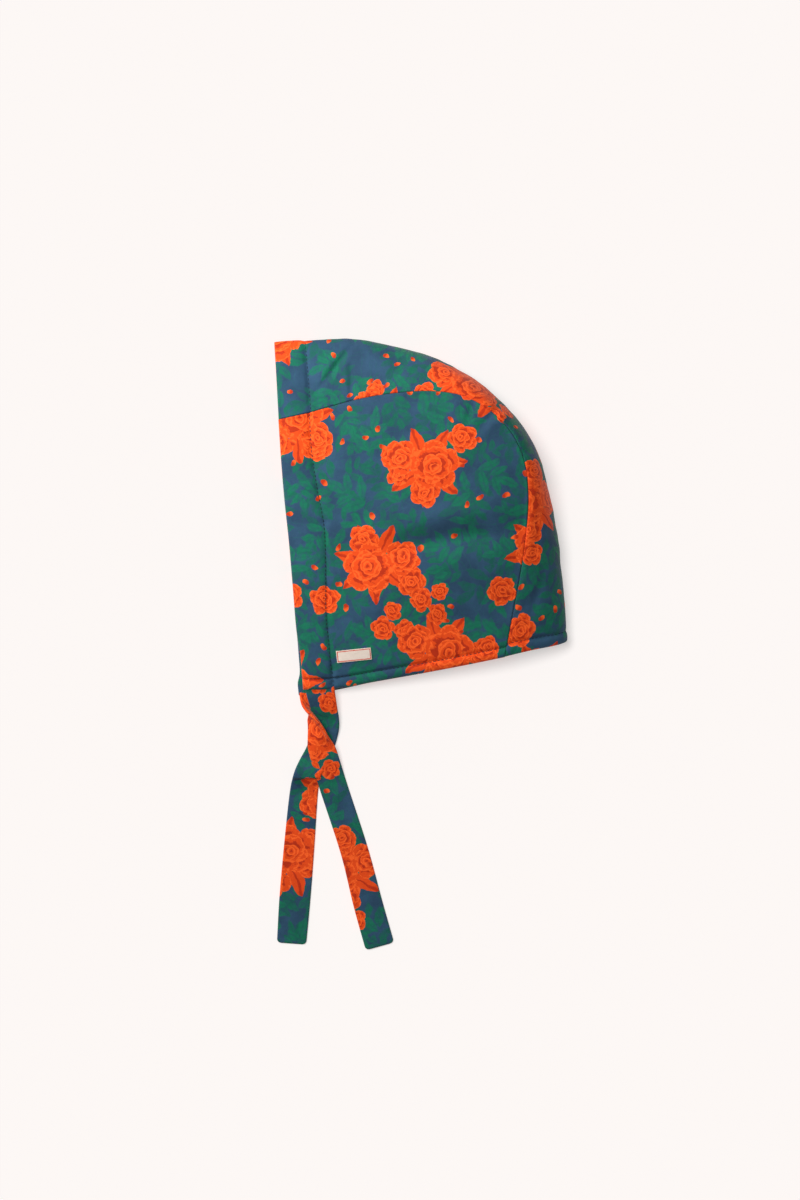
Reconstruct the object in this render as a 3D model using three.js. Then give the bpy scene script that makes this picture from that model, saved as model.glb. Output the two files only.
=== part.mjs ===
// A child's padded cloth bonnet with two ties, lying on its right side on a flat surface.
// Two side panels are joined by a crown panel that runs from the face opening over the head to the nape.
// X runs from the face opening to the nape, Y from the tie ends to the crown and Z up from the surface.
// The origin is the middle of the outline, on the surface. All sizes are in millimetres.
import * as THREE from "three";

// Driving dimensions
const WALL = 2.8; // printed cloth, wadding and lining, sewn together
const SEAM_GAP = 0.4; // between two pieces that are sewn to each other
const CASING_WIDTH = { crown: 17, tie: 20 }; // stitched tunnel along the face opening
const HEM_WIDTH = 6.5;
const STITCH_GROOVE = 0.5; // how deep a row of stitches pulls the cloth in
const CASING_PUFF = 0.9;
const HEM_PUFF = 0.6;
const PANEL_CROWN = 5; // how far the upper panel rises over its edges
const TIE_THICKNESS = 2;
const TIE_EDGE_THICKNESS = 1.1;
const TIE_CORNER = 2.6;
const LABEL = { x: -41.9, y: -7.1, length: 22, width: 7.6, thickness: 0.6, turn: 6 };

// Mesh divisions
const CASING_CELLS = 4;
const HEM_CELLS = 3;
const PANEL_COLUMNS = 22;
const PANEL_ROWS = 21;
const CROWN_CELLS_PER_SECTION = 4;
const CROWN_CELLS_BEFORE_HEM = 3;
const CROWN_CELLS_ACROSS = 14;
const TIE_CELLS_PER_SECTION = 4;
const TIE_CELLS_AT_END = 5;
const TIE_CELLS_ACROSS = 6;
const LABEL_CELLS = { along: 6, across: 2 };
const SLOPE_STEP = 0.01; // the share of a tie's half width over which its slope is measured
const RAY_HEIGHT = 200; // above every piece
const SAME_PLACE = 1e-6;

// Sections of the crown panel, from the face opening to the nape: the seam point,
// the point of the outline that belongs to it and the height of the upper seam.
const CROWN_SECTIONS = [
  { seamX: -88.4, seamY: 140.6, rimX: -91.2, rimY: 189.4, height: 15 },
  { seamX: -70.0, seamY: 144.6, rimX: -73.8, rimY: 190.4, height: 18 },
  { seamX: -44.5, seamY: 151.6, rimX: -43.5, rimY: 191.0, height: 25 },
  { seamX: -21.0, seamY: 155.8, rimX: -16.0, rimY: 185.9, height: 33 },
  { seamX: 3.9, seamY: 157.4, rimX: 10.5, rimY: 177.9, height: 41 },
  { seamX: 24.5, seamY: 154.6, rimX: 33.0, rimY: 165.9, height: 47 },
  { seamX: 42.0, seamY: 145.6, rimX: 50.9, rimY: 150.8, height: 51 },
  { seamX: 55.6, seamY: 131.8, rimX: 64.6, rimY: 134.4, height: 52 },
  { seamX: 63.4, seamY: 115.6, rimX: 74.0, rimY: 117.4, height: 51 },
  { seamX: 66.4, seamY: 97.4, rimX: 79.7, rimY: 97.2, height: 48 },
  { seamX: 65.8, seamY: 73.6, rimX: 84.2, rimY: 74.0, height: 43 },
  { seamX: 62.2, seamY: 46.6, rimX: 87.9, rimY: 49.0, height: 37 },
  { seamX: 57.6, seamY: 21.0, rimX: 90.0, rimY: 25.6, height: 32 },
  { seamX: 52.2, seamY: -8.2, rimX: 91.2, rimY: 2.9, height: 28 },
];
const CASING_SECTION = 1; // the row where the casing's stitches cross the crown panel
const CORNER_SECTION = 7; // the row where the side panel's top edge turns down the back

// The front edge of a side panel, from the tie up to the crown seam.
// The lower panel's edge stands out from the upper one's by lowerOut.
const FRONT_EDGE = [
  { x: -73.8, y: -28.8, height: 11.0, lowerOut: 2.9 },
  { x: -75.6, y: -6.9, height: 11.6, lowerOut: 1.6 },
  { x: -77.7, y: 9.0, height: 12.2, lowerOut: 0 },
  { x: -79.6, y: 39.0, height: 13.2, lowerOut: 0 },
  { x: -81.6, y: 64.5, height: 14.0, lowerOut: 0 },
  { x: -84.4, y: 90.0, height: 14.6, lowerOut: 0 },
  { x: -86.8, y: 115.0, height: 15.0, lowerOut: 0 },
  { x: -88.4, y: 140.6, height: 15.0, lowerOut: 0 },
];

// The lower edge of a side panel, from the tie back to the nape seam.
const HEM_EDGE = [
  { x: -73.8, y: -28.8, height: 11.0, lowerOut: 2.9 },
  { x: -53.8, y: -28.1, height: 13.0, lowerOut: 0 },
  { x: -26.0, y: -23.2, height: 17.5, lowerOut: 0 },
  { x: 5.6, y: -17.5, height: 22.5, lowerOut: 0 },
  { x: 30.0, y: -12.8, height: 26.0, lowerOut: 0 },
  { x: 52.2, y: -8.2, height: 28.0, lowerOut: 0 },
];

// Soft folds of the upper panel: a valley, or a ridge where the depth is negative.
const SOFT_FOLDS = [
  { x: 34, y: 76, turn: 4, length: 34, width: 9, depth: 2.2 },
  { x: 36, y: 93, turn: 4, length: 30, width: 8, depth: -1.0 },
  { x: -20, y: 118, turn: 72, length: 26, width: 8, depth: 1.2 },
  { x: -46, y: 40, turn: 84, length: 44, width: 8, depth: 1.0 },
  { x: 12, y: 14, turn: 12, length: 40, width: 9, depth: 1.1 },
];

// Sections of the ties, from the sewn end to the free end: one edge, the middle and the other edge.
const UPPER_TIE = [
  { left: [-72.3, -29.4, 9.6], middle: [-63.1, -29.1, 10.5], right: [-54.0, -28.7, 11.4] },
  { left: [-70.9, -35.0, 8.2], middle: [-62.1, -35.0, 9.3], right: [-53.1, -35.0, 9.8] },
  { left: [-67.3, -41.2, 5.4], middle: [-60.2, -41.2, 7.4], right: [-52.2, -41.2, 8.0] },
  { left: [-66.4, -47.0, 2.9], middle: [-59.2, -47.0, 5.0], right: [-51.3, -47.0, 6.2] },
  { left: [-67.0, -52.5, 1.5], middle: [-59.4, -52.5, 3.0], right: [-51.2, -52.5, 4.6] },
  { left: [-69.4, -58.6, 1.3], middle: [-61.0, -58.4, 1.9], right: [-52.2, -58.0, 2.8] },
  { left: [-72.2, -65.6, 1.2], middle: [-63.6, -66.0, 1.4], right: [-54.8, -66.4, 1.7] },
  { left: [-76.8, -74.2, 2.6], middle: [-69.0, -76.8, 1.7], right: [-61.1, -79.6, 1.2] },
  { left: [-80.0, -82.2, 3.6], middle: [-71.8, -84.2, 2.0], right: [-63.4, -86.2, 1.2] },
  { left: [-82.2, -95.0, 1.3], middle: [-73.6, -95.8, 1.2], right: [-64.8, -96.6, 1.2] },
  { left: [-84.7, -128.9, 1.1], middle: [-76.0, -129.5, 1.1], right: [-67.0, -130.1, 1.1] },
  { left: [-89.8, -185.6, 1.0], middle: [-80.9, -186.3, 1.0], right: [-71.9, -187.0, 1.0] },
];
const LOWER_TIE = [
  { left: [-76.6, -29.4, 1.4], middle: [-67.9, -29.2, 1.4], right: [-59.2, -29.0, 1.4] },
  { left: [-75.9, -34.0, 3.6], middle: [-69.6, -34.2, 1.7], right: [-61.4, -34.8, 1.2] },
  { left: [-74.5, -38.2, 7.2], middle: [-70.4, -38.6, 2.8], right: [-65.0, -39.8, 1.2] },
  { left: [-72.0, -41.8, 10.4], middle: [-69.8, -42.2, 5.4], right: [-69.0, -43.6, 1.4] },
  { left: [-69.0, -45.0, 12.0], middle: [-67.2, -45.6, 7.6], right: [-71.0, -47.4, 2.0] },
  { left: [-65.4, -49.0, 12.2], middle: [-64.6, -49.6, 8.6], right: [-71.0, -51.4, 3.0] },
  { left: [-61.4, -53.4, 11.0], middle: [-62.9, -54.2, 8.4], right: [-71.0, -55.6, 3.8] },
  { left: [-57.4, -58.8, 8.6], middle: [-62.8, -59.4, 7.2], right: [-71.1, -60.0, 4.2] },
  { left: [-53.8, -64.2, 5.8], middle: [-62.3, -65.0, 5.7], right: [-70.9, -65.8, 4.4] },
  { left: [-51.0, -72.4, 4.0], middle: [-59.5, -75.0, 4.4], right: [-67.9, -77.4, 3.8] },
  { left: [-46.0, -88.8, 1.4], middle: [-54.4, -91.2, 2.2], right: [-62.8, -93.6, 2.3] },
  { left: [-33.4, -127.6, 1.1], middle: [-41.8, -130.0, 1.2], right: [-50.2, -132.4, 1.1] },
  { left: [-18.2, -186.0, 1.0], middle: [-26.6, -188.2, 1.0], right: [-35.0, -190.4, 1.0] },
];

const CLOTH = { color: "#3b5873", roughness: 0.85, metalness: 0 };
const TIE_CLOTH = { color: "#d9501f", roughness: 0.85, metalness: 0 };
const LABEL_CLOTH = { color: "#e9e2d8", roughness: 0.9, metalness: 0 };

// A smooth curve through the rows of a table; its parameter runs from 0 to 1.
function curveThrough(points) {
  return new THREE.CatmullRomCurve3(points, false, "catmullrom");
}

const lastSection = CROWN_SECTIONS.length - 1;
const seamCurve = curveThrough(CROWN_SECTIONS.map((s) => new THREE.Vector3(s.seamX, s.seamY, s.height)));
const rimCurve = curveThrough(CROWN_SECTIONS.map((s) => new THREE.Vector3(s.rimX, s.rimY, 0)));

// The free edges of a side panel.
function edgeCurves(isUpper) {
  const place = (row) => new THREE.Vector3(isUpper ? row.x : row.x - row.lowerOut, row.y, row.height);
  return { front: curveThrough(FRONT_EDGE.map(place)), hem: curveThrough(HEM_EDGE.map(place)) };
}

// Joins an outer and an inner grid of points into one closed wall.
function wallGeometry(outer, inner) {
  const rows = outer.length;
  const columns = outer[0].length;
  const positions = [outer, inner].flat(2).flatMap((p) => [p.x, p.y, p.z]);
  const at = (layer, i, j) => (layer * rows + i) * columns + j;
  const index = [];
  const quad = (a, b, c, d) => index.push(a, b, c, a, c, d);
  const [endRow, endColumn] = [rows - 1, columns - 1];
  for (let i = 0; i < endRow; i++) {
    for (let j = 0; j < endColumn; j++) {
      quad(at(0, i, j), at(0, i, j + 1), at(0, i + 1, j + 1), at(0, i + 1, j));
      quad(at(1, i, j), at(1, i + 1, j), at(1, i + 1, j + 1), at(1, i, j + 1));
    }
    quad(at(0, i, 0), at(0, i + 1, 0), at(1, i + 1, 0), at(1, i, 0));
    quad(at(0, i + 1, endColumn), at(0, i, endColumn), at(1, i, endColumn), at(1, i + 1, endColumn));
  }
  for (let j = 0; j < endColumn; j++) {
    quad(at(0, 0, j + 1), at(0, 0, j), at(1, 0, j), at(1, 0, j + 1));
    quad(at(0, endRow, j), at(0, endRow, j + 1), at(1, endRow, j + 1), at(1, endRow, j));
  }
  return facingOut(positions, index);
}

// A geometry whose faces point out, whichever way its grids ran.
function facingOut(positions, index) {
  const corner = (n) => new THREE.Vector3().fromArray(positions, 3 * n);
  let volume = 0;
  for (let k = 0; k < index.length; k += 3) {
    const [a, b, c] = [corner(index[k]), corner(index[k + 1]), corner(index[k + 2])];
    volume += a.dot(b.cross(c)) / 6;
  }
  const geometry = new THREE.BufferGeometry();
  geometry.setAttribute("position", new THREE.Float32BufferAttribute(positions, 3));
  geometry.setIndex(volume < 0 ? [...index].reverse() : index);
  geometry.computeVertexNormals();
  return geometry;
}

// The relief of cloth that two rows of stitches hold down; share runs from one row to the other.
function puff(share, rise) {
  return rise * Math.sin(Math.PI * share);
}

// How far the soft folds lower the upper panel at a point.
function foldDepth(x, y) {
  return SOFT_FOLDS.reduce((sum, fold) => {
    const turn = THREE.MathUtils.degToRad(fold.turn);
    const [dx, dy] = [x - fold.x, y - fold.y];
    const along = (dx * Math.cos(turn) + dy * Math.sin(turn)) / fold.length;
    const across = (dy * Math.cos(turn) - dx * Math.sin(turn)) / fold.width;
    return sum + fold.depth * Math.exp(-along * along - across * across);
  }, 0);
}

// A point of a side panel. u runs from the front edge to the back seam and v from the hem to the top seam.
function panelPoint(u, v, edges) {
  const corner = CORNER_SECTION / lastSection;
  const seam = (s) => {
    const [edge, rim] = [seamCurve.getPoint(s), rimCurve.getPoint(s)];
    const inward = edge.clone().sub(rim).setZ(0).normalize();
    return edge.addScaledVector(inward, SEAM_GAP / 2);
  };
  const front = edges.front.getPoint(v);
  const back = seam(1 - v * (1 - corner));
  const hem = edges.hem.getPoint(u);
  const top = seam(u * corner);
  const corners = [
    [edges.front.getPoint(0), (1 - u) * (1 - v)],
    [seam(1), u * (1 - v)],
    [seam(0), (1 - u) * v],
    [seam(corner), u * v],
  ];
  const point = new THREE.Vector3()
    .addScaledVector(front, 1 - u)
    .addScaledVector(back, u)
    .addScaledVector(hem, 1 - v)
    .addScaledVector(top, v);
  corners.forEach(([at, share]) => point.addScaledVector(at, -share));
  return point;
}

// Places along a row or column: the stitched margin first, then the field in even steps.
function placesWithMargin(margin, marginCells, cells) {
  return Array.from({ length: cells + 1 }, (_, i) => {
    if (i <= marginCells) return (margin * i) / marginCells;
    return margin + ((1 - margin) * (i - marginCells)) / (cells - marginCells);
  });
}

// The width of a stitched margin as a share of the panel's own length there.
function marginShare(width, start, end) {
  return width / start.distanceTo(end);
}

function sidePanel(name, isUpper) {
  const edges = edgeCurves(isUpper);
  const outer = [];
  const inner = [];
  const hemShare = marginShare(HEM_WIDTH, panelPoint(0.5, 0, edges), panelPoint(0.5, 1, edges));
  placesWithMargin(hemShare, HEM_CELLS, PANEL_ROWS).forEach((v, i) => {
    const width = THREE.MathUtils.lerp(CASING_WIDTH.tie, CASING_WIDTH.crown, v);
    const casingShare = marginShare(width, panelPoint(0, v, edges), panelPoint(1, v, edges));
    const outerRow = [];
    const innerRow = [];
    placesWithMargin(casingShare, CASING_CELLS, PANEL_COLUMNS).forEach((u, j) => {
      const point = panelPoint(u, v, edges);
      const dome = PANEL_CROWN * Math.sin(Math.PI * u) * Math.sin(Math.PI * v);
      let relief = 0;
      if (i < HEM_CELLS) relief += puff(i / HEM_CELLS, HEM_PUFF);
      if (j < CASING_CELLS) relief += puff(j / CASING_CELLS, CASING_PUFF);
      if (i === HEM_CELLS || j === CASING_CELLS) relief -= STITCH_GROOVE;
      if (isUpper) {
        point.z += dome - foldDepth(point.x, point.y);
        innerRow.push(point.clone().setZ(point.z - WALL));
        outerRow.push(point.clone().setZ(point.z + relief));
      } else {
        innerRow.push(point.clone().setZ(WALL));
        outerRow.push(point.clone().setZ(0));
      }
    });
    outer.push(outerRow);
    inner.push(innerRow);
  });
  return namedMesh(name, wallGeometry(outer, inner), CLOTH);
}

// A point of the crown panel. s runs from the face opening to the nape and angle from the lower seam
// to the upper one, by way of the outline halfway up.
function crownPoint(s, angle, inset) {
  const seam = seamCurve.getPoint(s);
  const rim = rimCurve.getPoint(s);
  const height = seam.z;
  const inward = seam.clone().sub(rim).setZ(0);
  const depth = inward.length() - SEAM_GAP / 2;
  inward.normalize();
  const distance = inset + (depth - inset) * (1 - Math.cos(angle));
  const point = rim.clone().addScaledVector(inward, distance);
  return point.setZ(height / 2 + (height / 2 - inset) * Math.sin(angle));
}

// Even steps from one station to another, without the first.
function stepsBetween(start, end, cells) {
  return Array.from({ length: cells }, (_, i) => THREE.MathUtils.lerp(start, end, (i + 1) / cells));
}

function crownPanel() {
  const outer = [];
  const inner = [];
  const lastSpan = rimCurve.getPoint(1).distanceTo(rimCurve.getPoint(1 - 1 / lastSection));
  const hemSection = lastSection - HEM_WIDTH / lastSpan;
  const evenCells = (lastSection - 1) * CROWN_CELLS_PER_SECTION;
  const stations = [
    0,
    ...stepsBetween(0, lastSection - 1, evenCells),
    ...stepsBetween(lastSection - 1, hemSection, CROWN_CELLS_BEFORE_HEM),
    ...stepsBetween(hemSection, lastSection, HEM_CELLS),
  ];
  for (const station of stations) {
    const s = station / lastSection;
    let relief = 0;
    if (station < CASING_SECTION) relief = puff(station / CASING_SECTION, CASING_PUFF);
    if (station > hemSection) relief = puff((station - hemSection) / (lastSection - hemSection), HEM_PUFF);
    const fromStitches = Math.min(Math.abs(station - CASING_SECTION), Math.abs(station - hemSection));
    if (fromStitches < SAME_PLACE) relief = -STITCH_GROOVE;
    const outerRow = [];
    const innerRow = [];
    for (let j = 0; j <= CROWN_CELLS_ACROSS; j++) {
      const angle = Math.PI * (j / CROWN_CELLS_ACROSS - 0.5);
      const upward = Math.max(0, Math.sin(angle));
      const point = crownPoint(s, angle, 0);
      outerRow.push(point.setZ(point.z + relief * upward));
      innerRow.push(crownPoint(s, angle, WALL));
    }
    outer.push(outerRow);
    inner.push(innerRow);
  }
  return namedMesh("crown_panel", wallGeometry(outer, inner), CLOTH);
}

// Places along a tie, from 0 to 1: even steps, then ever shorter ones into the rounded end.
function tiePlaces(spans) {
  const steps = spans * TIE_CELLS_PER_SECTION;
  const even = Array.from({ length: steps }, (_, i) => i / steps);
  const end = stepsBetween(0, 1, TIE_CELLS_AT_END).map((share) => 1 - (1 - share) ** 2 / steps);
  return [...even, ...end];
}

// A flat tie: a curved strip through its sections, with rounded corners at the free end.
function tie(name, sections) {
  const curves = ["left", "middle", "right"].map((edge) =>
    curveThrough(sections.map((section) => new THREE.Vector3(...section[edge]))),
  );
  const upper = [];
  const lower = [];
  for (const place of tiePlaces(sections.length - 1)) {
    const [left, middle, right] = curves.map((curve) => curve.getPoint(place));
    const tangent = curves[1].getTangent(place);
    const toEnd = curves[1].getPoint(1).distanceTo(middle);
    const cut = Math.max(0, TIE_CORNER - toEnd);
    const narrowing = TIE_CORNER - Math.sqrt(Math.max(0, TIE_CORNER ** 2 - cut ** 2));
    const share = 1 - (2 * narrowing) / left.distanceTo(right);
    const upperRow = [];
    const lowerRow = [];
    for (let j = 0; j <= TIE_CELLS_ACROSS; j++) {
      const w = ((2 * j) / TIE_CELLS_ACROSS - 1) * share;
      const centre = bowed(left, middle, right, w);
      const before = bowed(left, middle, right, w - SLOPE_STEP);
      const across = bowed(left, middle, right, w + SLOPE_STEP).sub(before);
      const normal = tangent.clone().cross(across).normalize();
      const atEdge = j === 0 || j === TIE_CELLS_ACROSS;
      const half = (atEdge ? TIE_EDGE_THICKNESS : TIE_THICKNESS) / 2;
      upperRow.push(centre.clone().addScaledVector(normal, half));
      lowerRow.push(centre.clone().addScaledVector(normal, -half));
    }
    upper.push(upperRow);
    lower.push(lowerRow);
  }
  return namedMesh(name, wallGeometry(upper, lower), TIE_CLOTH);
}

// A point across a tie: w is -1 at its left edge, 0 in the middle and 1 at its right edge.
function bowed(left, middle, right, w) {
  return new THREE.Vector3()
    .addScaledVector(left, (w * (w - 1)) / 2)
    .addScaledVector(middle, 1 - w * w)
    .addScaledVector(right, (w * (w + 1)) / 2);
}

// The upper panel's surface height at a place, found on the panel's own triangles.
function heightOn(mesh, x, y) {
  const downward = new THREE.Raycaster(new THREE.Vector3(x, y, RAY_HEIGHT), new THREE.Vector3(0, 0, -1));
  return downward.intersectObject(mesh)[0].point.z;
}

// A small woven label, sewn flat on the upper panel beside the casing.
function label(upperPanel) {
  const turn = THREE.MathUtils.degToRad(LABEL.turn);
  const top = [];
  const base = [];
  for (let i = 0; i <= LABEL_CELLS.along; i++) {
    const topRow = [];
    const baseRow = [];
    for (let j = 0; j <= LABEL_CELLS.across; j++) {
      const along = LABEL.length * (i / LABEL_CELLS.along - 0.5);
      const across = LABEL.width * (j / LABEL_CELLS.across - 0.5);
      const x = LABEL.x + along * Math.cos(turn) - across * Math.sin(turn);
      const y = LABEL.y + along * Math.sin(turn) + across * Math.cos(turn);
      const z = heightOn(upperPanel, x, y) + SEAM_GAP;
      baseRow.push(new THREE.Vector3(x, y, z));
      topRow.push(new THREE.Vector3(x, y, z + LABEL.thickness));
    }
    top.push(topRow);
    base.push(baseRow);
  }
  return namedMesh("label", wallGeometry(top, base), LABEL_CLOTH);
}

function namedMesh(name, geometry, look) {
  const mesh = new THREE.Mesh(geometry, new THREE.MeshStandardMaterial(look));
  mesh.name = name;
  return mesh;
}

const bonnet = new THREE.Group();
const upperPanel = sidePanel("side_panel_upper", true);
bonnet.add(upperPanel);
bonnet.add(sidePanel("side_panel_lower", false));
bonnet.add(crownPanel());
bonnet.add(tie("tie_upper", UPPER_TIE));
bonnet.add(tie("tie_lower", LOWER_TIE));
bonnet.add(label(upperPanel));

export default bonnet;
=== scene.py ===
"""A child's bonnet of printed cotton with two ties, lying on its right side on a pale floor."""

import logging
import math
from dataclasses import dataclass, field
from enum import Enum
from typing import NamedTuple

import bpy
import numpy as np
from bpy.types import Light, Material, Node, NodeSocket, NodeTree, Object
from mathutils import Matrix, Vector
from mathutils.bvhtree import BVHTree


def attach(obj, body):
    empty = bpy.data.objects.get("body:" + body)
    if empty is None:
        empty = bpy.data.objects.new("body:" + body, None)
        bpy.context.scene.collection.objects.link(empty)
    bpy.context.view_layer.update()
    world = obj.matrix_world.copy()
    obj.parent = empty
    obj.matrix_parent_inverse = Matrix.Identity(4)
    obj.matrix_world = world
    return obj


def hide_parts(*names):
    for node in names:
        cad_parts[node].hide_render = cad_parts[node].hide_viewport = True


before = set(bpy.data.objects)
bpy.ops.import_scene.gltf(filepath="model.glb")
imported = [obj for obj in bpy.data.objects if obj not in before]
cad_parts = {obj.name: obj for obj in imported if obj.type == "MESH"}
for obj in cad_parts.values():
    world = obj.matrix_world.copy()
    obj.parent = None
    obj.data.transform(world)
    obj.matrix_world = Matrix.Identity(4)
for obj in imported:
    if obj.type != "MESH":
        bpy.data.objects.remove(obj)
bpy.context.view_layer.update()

LOG = logging.getLogger("bonnet")
MM = 0.001  # one millimetre in metres; sizes below are in millimetres unless a comment says otherwise

WALL = 2.8  # printed cotton, wadding and lining together
FREE_EDGE_ROLL = WALL / 2
SEAM_ROLL = 0.9  # how far from a seam the cloth starts to roll down into it
SEAM_DEPTH = 1.5  # how deep it goes there
SEAM_OVERLAP = 0.15  # pushes two sewn edges together, so that no light shows between them
CASING_WIDTH = 18.0
HEM_WIDTH = 6.5
CASING_GROOVE = (2.4, 1.2)  # how wide the groove that the stitches draw in is, before and past them
HEM_GROOVE = (1.3, 1.0)
FACING = 0.5  # how far past the stitches the printed cotton is turned to the inside
NAPE_BELLY = 1.3  # how far the crown panel's hem hangs down between its seams and its outline
PANEL_CROWN = 5.0  # how far the upper panel rises over its edges
TIE_WIDTH = 18.0

Point = tuple[float, float, float]


class CrownSection(NamedTuple):
    """A section of the crown panel: its seam point, its outline point and the upper seam's height."""

    seam_x: float
    seam_y: float
    rim_x: float
    rim_y: float
    height: float


CROWN_SECTIONS = [
    CrownSection(-89.3, 140.4, -92.0, 189.5, 15),
    CrownSection(-69.0, 144.9, -72.8, 190.5, 18),
    CrownSection(-44.5, 151.6, -43.5, 191.0, 25),
    CrownSection(-21.0, 155.8, -16.0, 185.9, 33),
    CrownSection(3.9, 157.4, 10.5, 177.9, 41),
    CrownSection(24.5, 154.6, 33.0, 165.9, 47),
    CrownSection(42.0, 145.6, 50.9, 150.8, 51),
    CrownSection(55.6, 131.8, 64.6, 134.4, 52),
    CrownSection(63.4, 115.6, 74.0, 117.4, 51),
    CrownSection(66.4, 97.4, 79.7, 97.2, 48),
    CrownSection(65.8, 73.6, 84.2, 74.0, 43),
    CrownSection(62.2, 46.6, 87.9, 49.0, 37),
    CrownSection(57.6, 21.0, 90.0, 25.6, 32),
    CrownSection(52.2, -8.2, 91.6, 2.0, 28),
]
LAST_SECTION = len(CROWN_SECTIONS) - 1
CASING_SECTION = 1  # where the casing's stitches cross the crown panel
CORNER_SECTION = 7  # where a side panel's top edge turns down the back


class EdgePoint(NamedTuple):
    """A point of a side panel's free edge, and how far the lower panel's edge stands out and hangs
    down beside it."""

    x: float
    y: float
    height: float
    lower_out: float = 0.0
    lower_down: float = 0.0


FRONT_EDGE = [
    EdgePoint(-73.8, -28.8, 11.0, 2.9, 3.6),
    EdgePoint(-74.3, -22.8, 11.2, 3.0, 1.8),
    EdgePoint(-74.7, -18.0, 11.3, 1.4),
    EdgePoint(-75.6, -6.9, 11.6, 1.2),
    EdgePoint(-78.1, 9.0, 12.2),
    EdgePoint(-80.6, 39.0, 13.2),
    EdgePoint(-82.8, 64.5, 14.0),
    EdgePoint(-85.5, 90.0, 14.6),
    EdgePoint(-87.6, 115.0, 15.0),
    EdgePoint(-89.3, 140.4, 15.0),
]
CASING_WIDTHS = [19.3, 19.3, 19.3, 19.8, 21.1, 23.0, 24.1, 22.0, 20.2, 20.2]  # at the same ten points
HEM_EDGE = [
    FRONT_EDGE[0],
    EdgePoint(-53.8, -28.1, 13.0, 0, 1.0),
    EdgePoint(-26.0, -23.2, 17.5),
    EdgePoint(5.6, -17.5, 22.5),
    EdgePoint(30.0, -12.8, 26.0),
    EdgePoint(52.2, -8.2, 28.0),
]


class SoftFold(NamedTuple):
    """A soft fold, turned in degrees: a valley along its length, or a ridge where the depth is negative."""

    x: float
    y: float
    turn: float
    length: float
    width: float
    depth: float


PANEL_FOLDS = [
    SoftFold(16, 65.0, 8, 36, 8.0, 4.8),
    SoftFold(18, 80, 8, 34, 9.0, -2.0),
    SoftFold(-34, 84, 60, 20, 6.0, 0.9),
    SoftFold(-6, 48, -20, 26, 7.0, 0.8),
    SoftFold(-20, 118, 72, 26, 8, 1.2),
    SoftFold(-46, 40, 84, 44, 8, 1.0),
    SoftFold(12, 14, 12, 40, 9, 1.1),
    SoftFold(30.4, 144.5, 76, 9, 1.9, 1.3),
    SoftFold(41.5, 139.5, 48, 10, 2.4, 1.4),
    SoftFold(45.0, 136.0, 48, 10, 2.8, -0.5),
    SoftFold(-51.5, -20.0, -66, 9, 1.7, 1.2),
    SoftFold(-54.5, -14.0, 80, 9, 1.6, 0.9),
]
CROWN_FOLDS = [
    SoftFold(-52.8, 174.2, 53, 17, 1.3, 2.1),
    SoftFold(-49.4, 171.6, 53, 13, 2.4, -0.7),
    SoftFold(-56.4, 176.2, 53, 12, 2.6, -0.6),
    SoftFold(-43.2, 163.0, 92, 13, 2.2, 1.4),
    SoftFold(-47.4, 162.0, 92, 13, 2.8, -0.6),
    SoftFold(-14.0, 172.0, 60, 12, 3.4, 0.8),
    SoftFold(47.3, 146.4, 48, 9, 2.6, 1.6),
    SoftFold(52.0, 142.0, 46, 9, 2.6, -0.6),
    SoftFold(68.0, 121.0, 24, 8, 2.6, 1.3),
    SoftFold(73.0, 34.0, 74, 15, 2.6, 1.1),
    SoftFold(72.0, 66.0, 84, 22, 2.4, 0.7),
]


class TieSection(NamedTuple):
    """A section of a tie: one edge, the middle and the other edge."""

    left: Point
    middle: Point
    right: Point


UPPER_TIE = [
    TieSection((-72.3, -26.6, 9.8), (-63.1, -26.4, 10.7), (-54.0, -26.2, 11.6)),
    TieSection((-72.3, -29.4, 9.6), (-63.1, -29.1, 10.5), (-54.0, -28.7, 11.4)),
    TieSection((-70.9, -35.0, 8.2), (-62.1, -35.0, 9.3), (-53.1, -35.0, 9.8)),
    TieSection((-69.2, -41.2, 5.2), (-60.6, -41.2, 7.4), (-52.2, -41.2, 8.0)),
    TieSection((-69.0, -47.0, 2.4), (-60.0, -47.0, 4.0), (-51.3, -47.0, 5.8)),
    TieSection((-68.4, -52.5, 1.3), (-59.8, -52.5, 2.2), (-51.2, -52.5, 4.2)),
    TieSection((-69.4, -58.6, 1.2), (-61.0, -58.4, 1.5), (-52.2, -58.0, 2.7)),
    TieSection((-72.2, -65.6, 1.2), (-63.6, -66.0, 1.4), (-54.8, -66.4, 1.7)),
    TieSection((-76.8, -74.2, 2.6), (-69.0, -76.8, 1.7), (-61.1, -79.6, 1.2)),
    TieSection((-80.0, -82.2, 3.6), (-71.8, -84.2, 2.0), (-63.4, -86.2, 1.2)),
    TieSection((-82.6, -95.0, 1.3), (-73.7, -95.8, 1.2), (-64.8, -96.6, 1.2)),
    TieSection((-86.2, -128.9, 1.3), (-76.8, -129.5, 1.2), (-67.0, -130.1, 1.3)),
    TieSection((-88.9, -160.0, 1.5), (-79.2, -160.7, 1.3), (-69.4, -161.3, 1.2)),
    TieSection((-90.4, -187.6, 2.5), (-81.2, -188.3, 2.1), (-72.0, -189.0, 1.7)),
]
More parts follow.
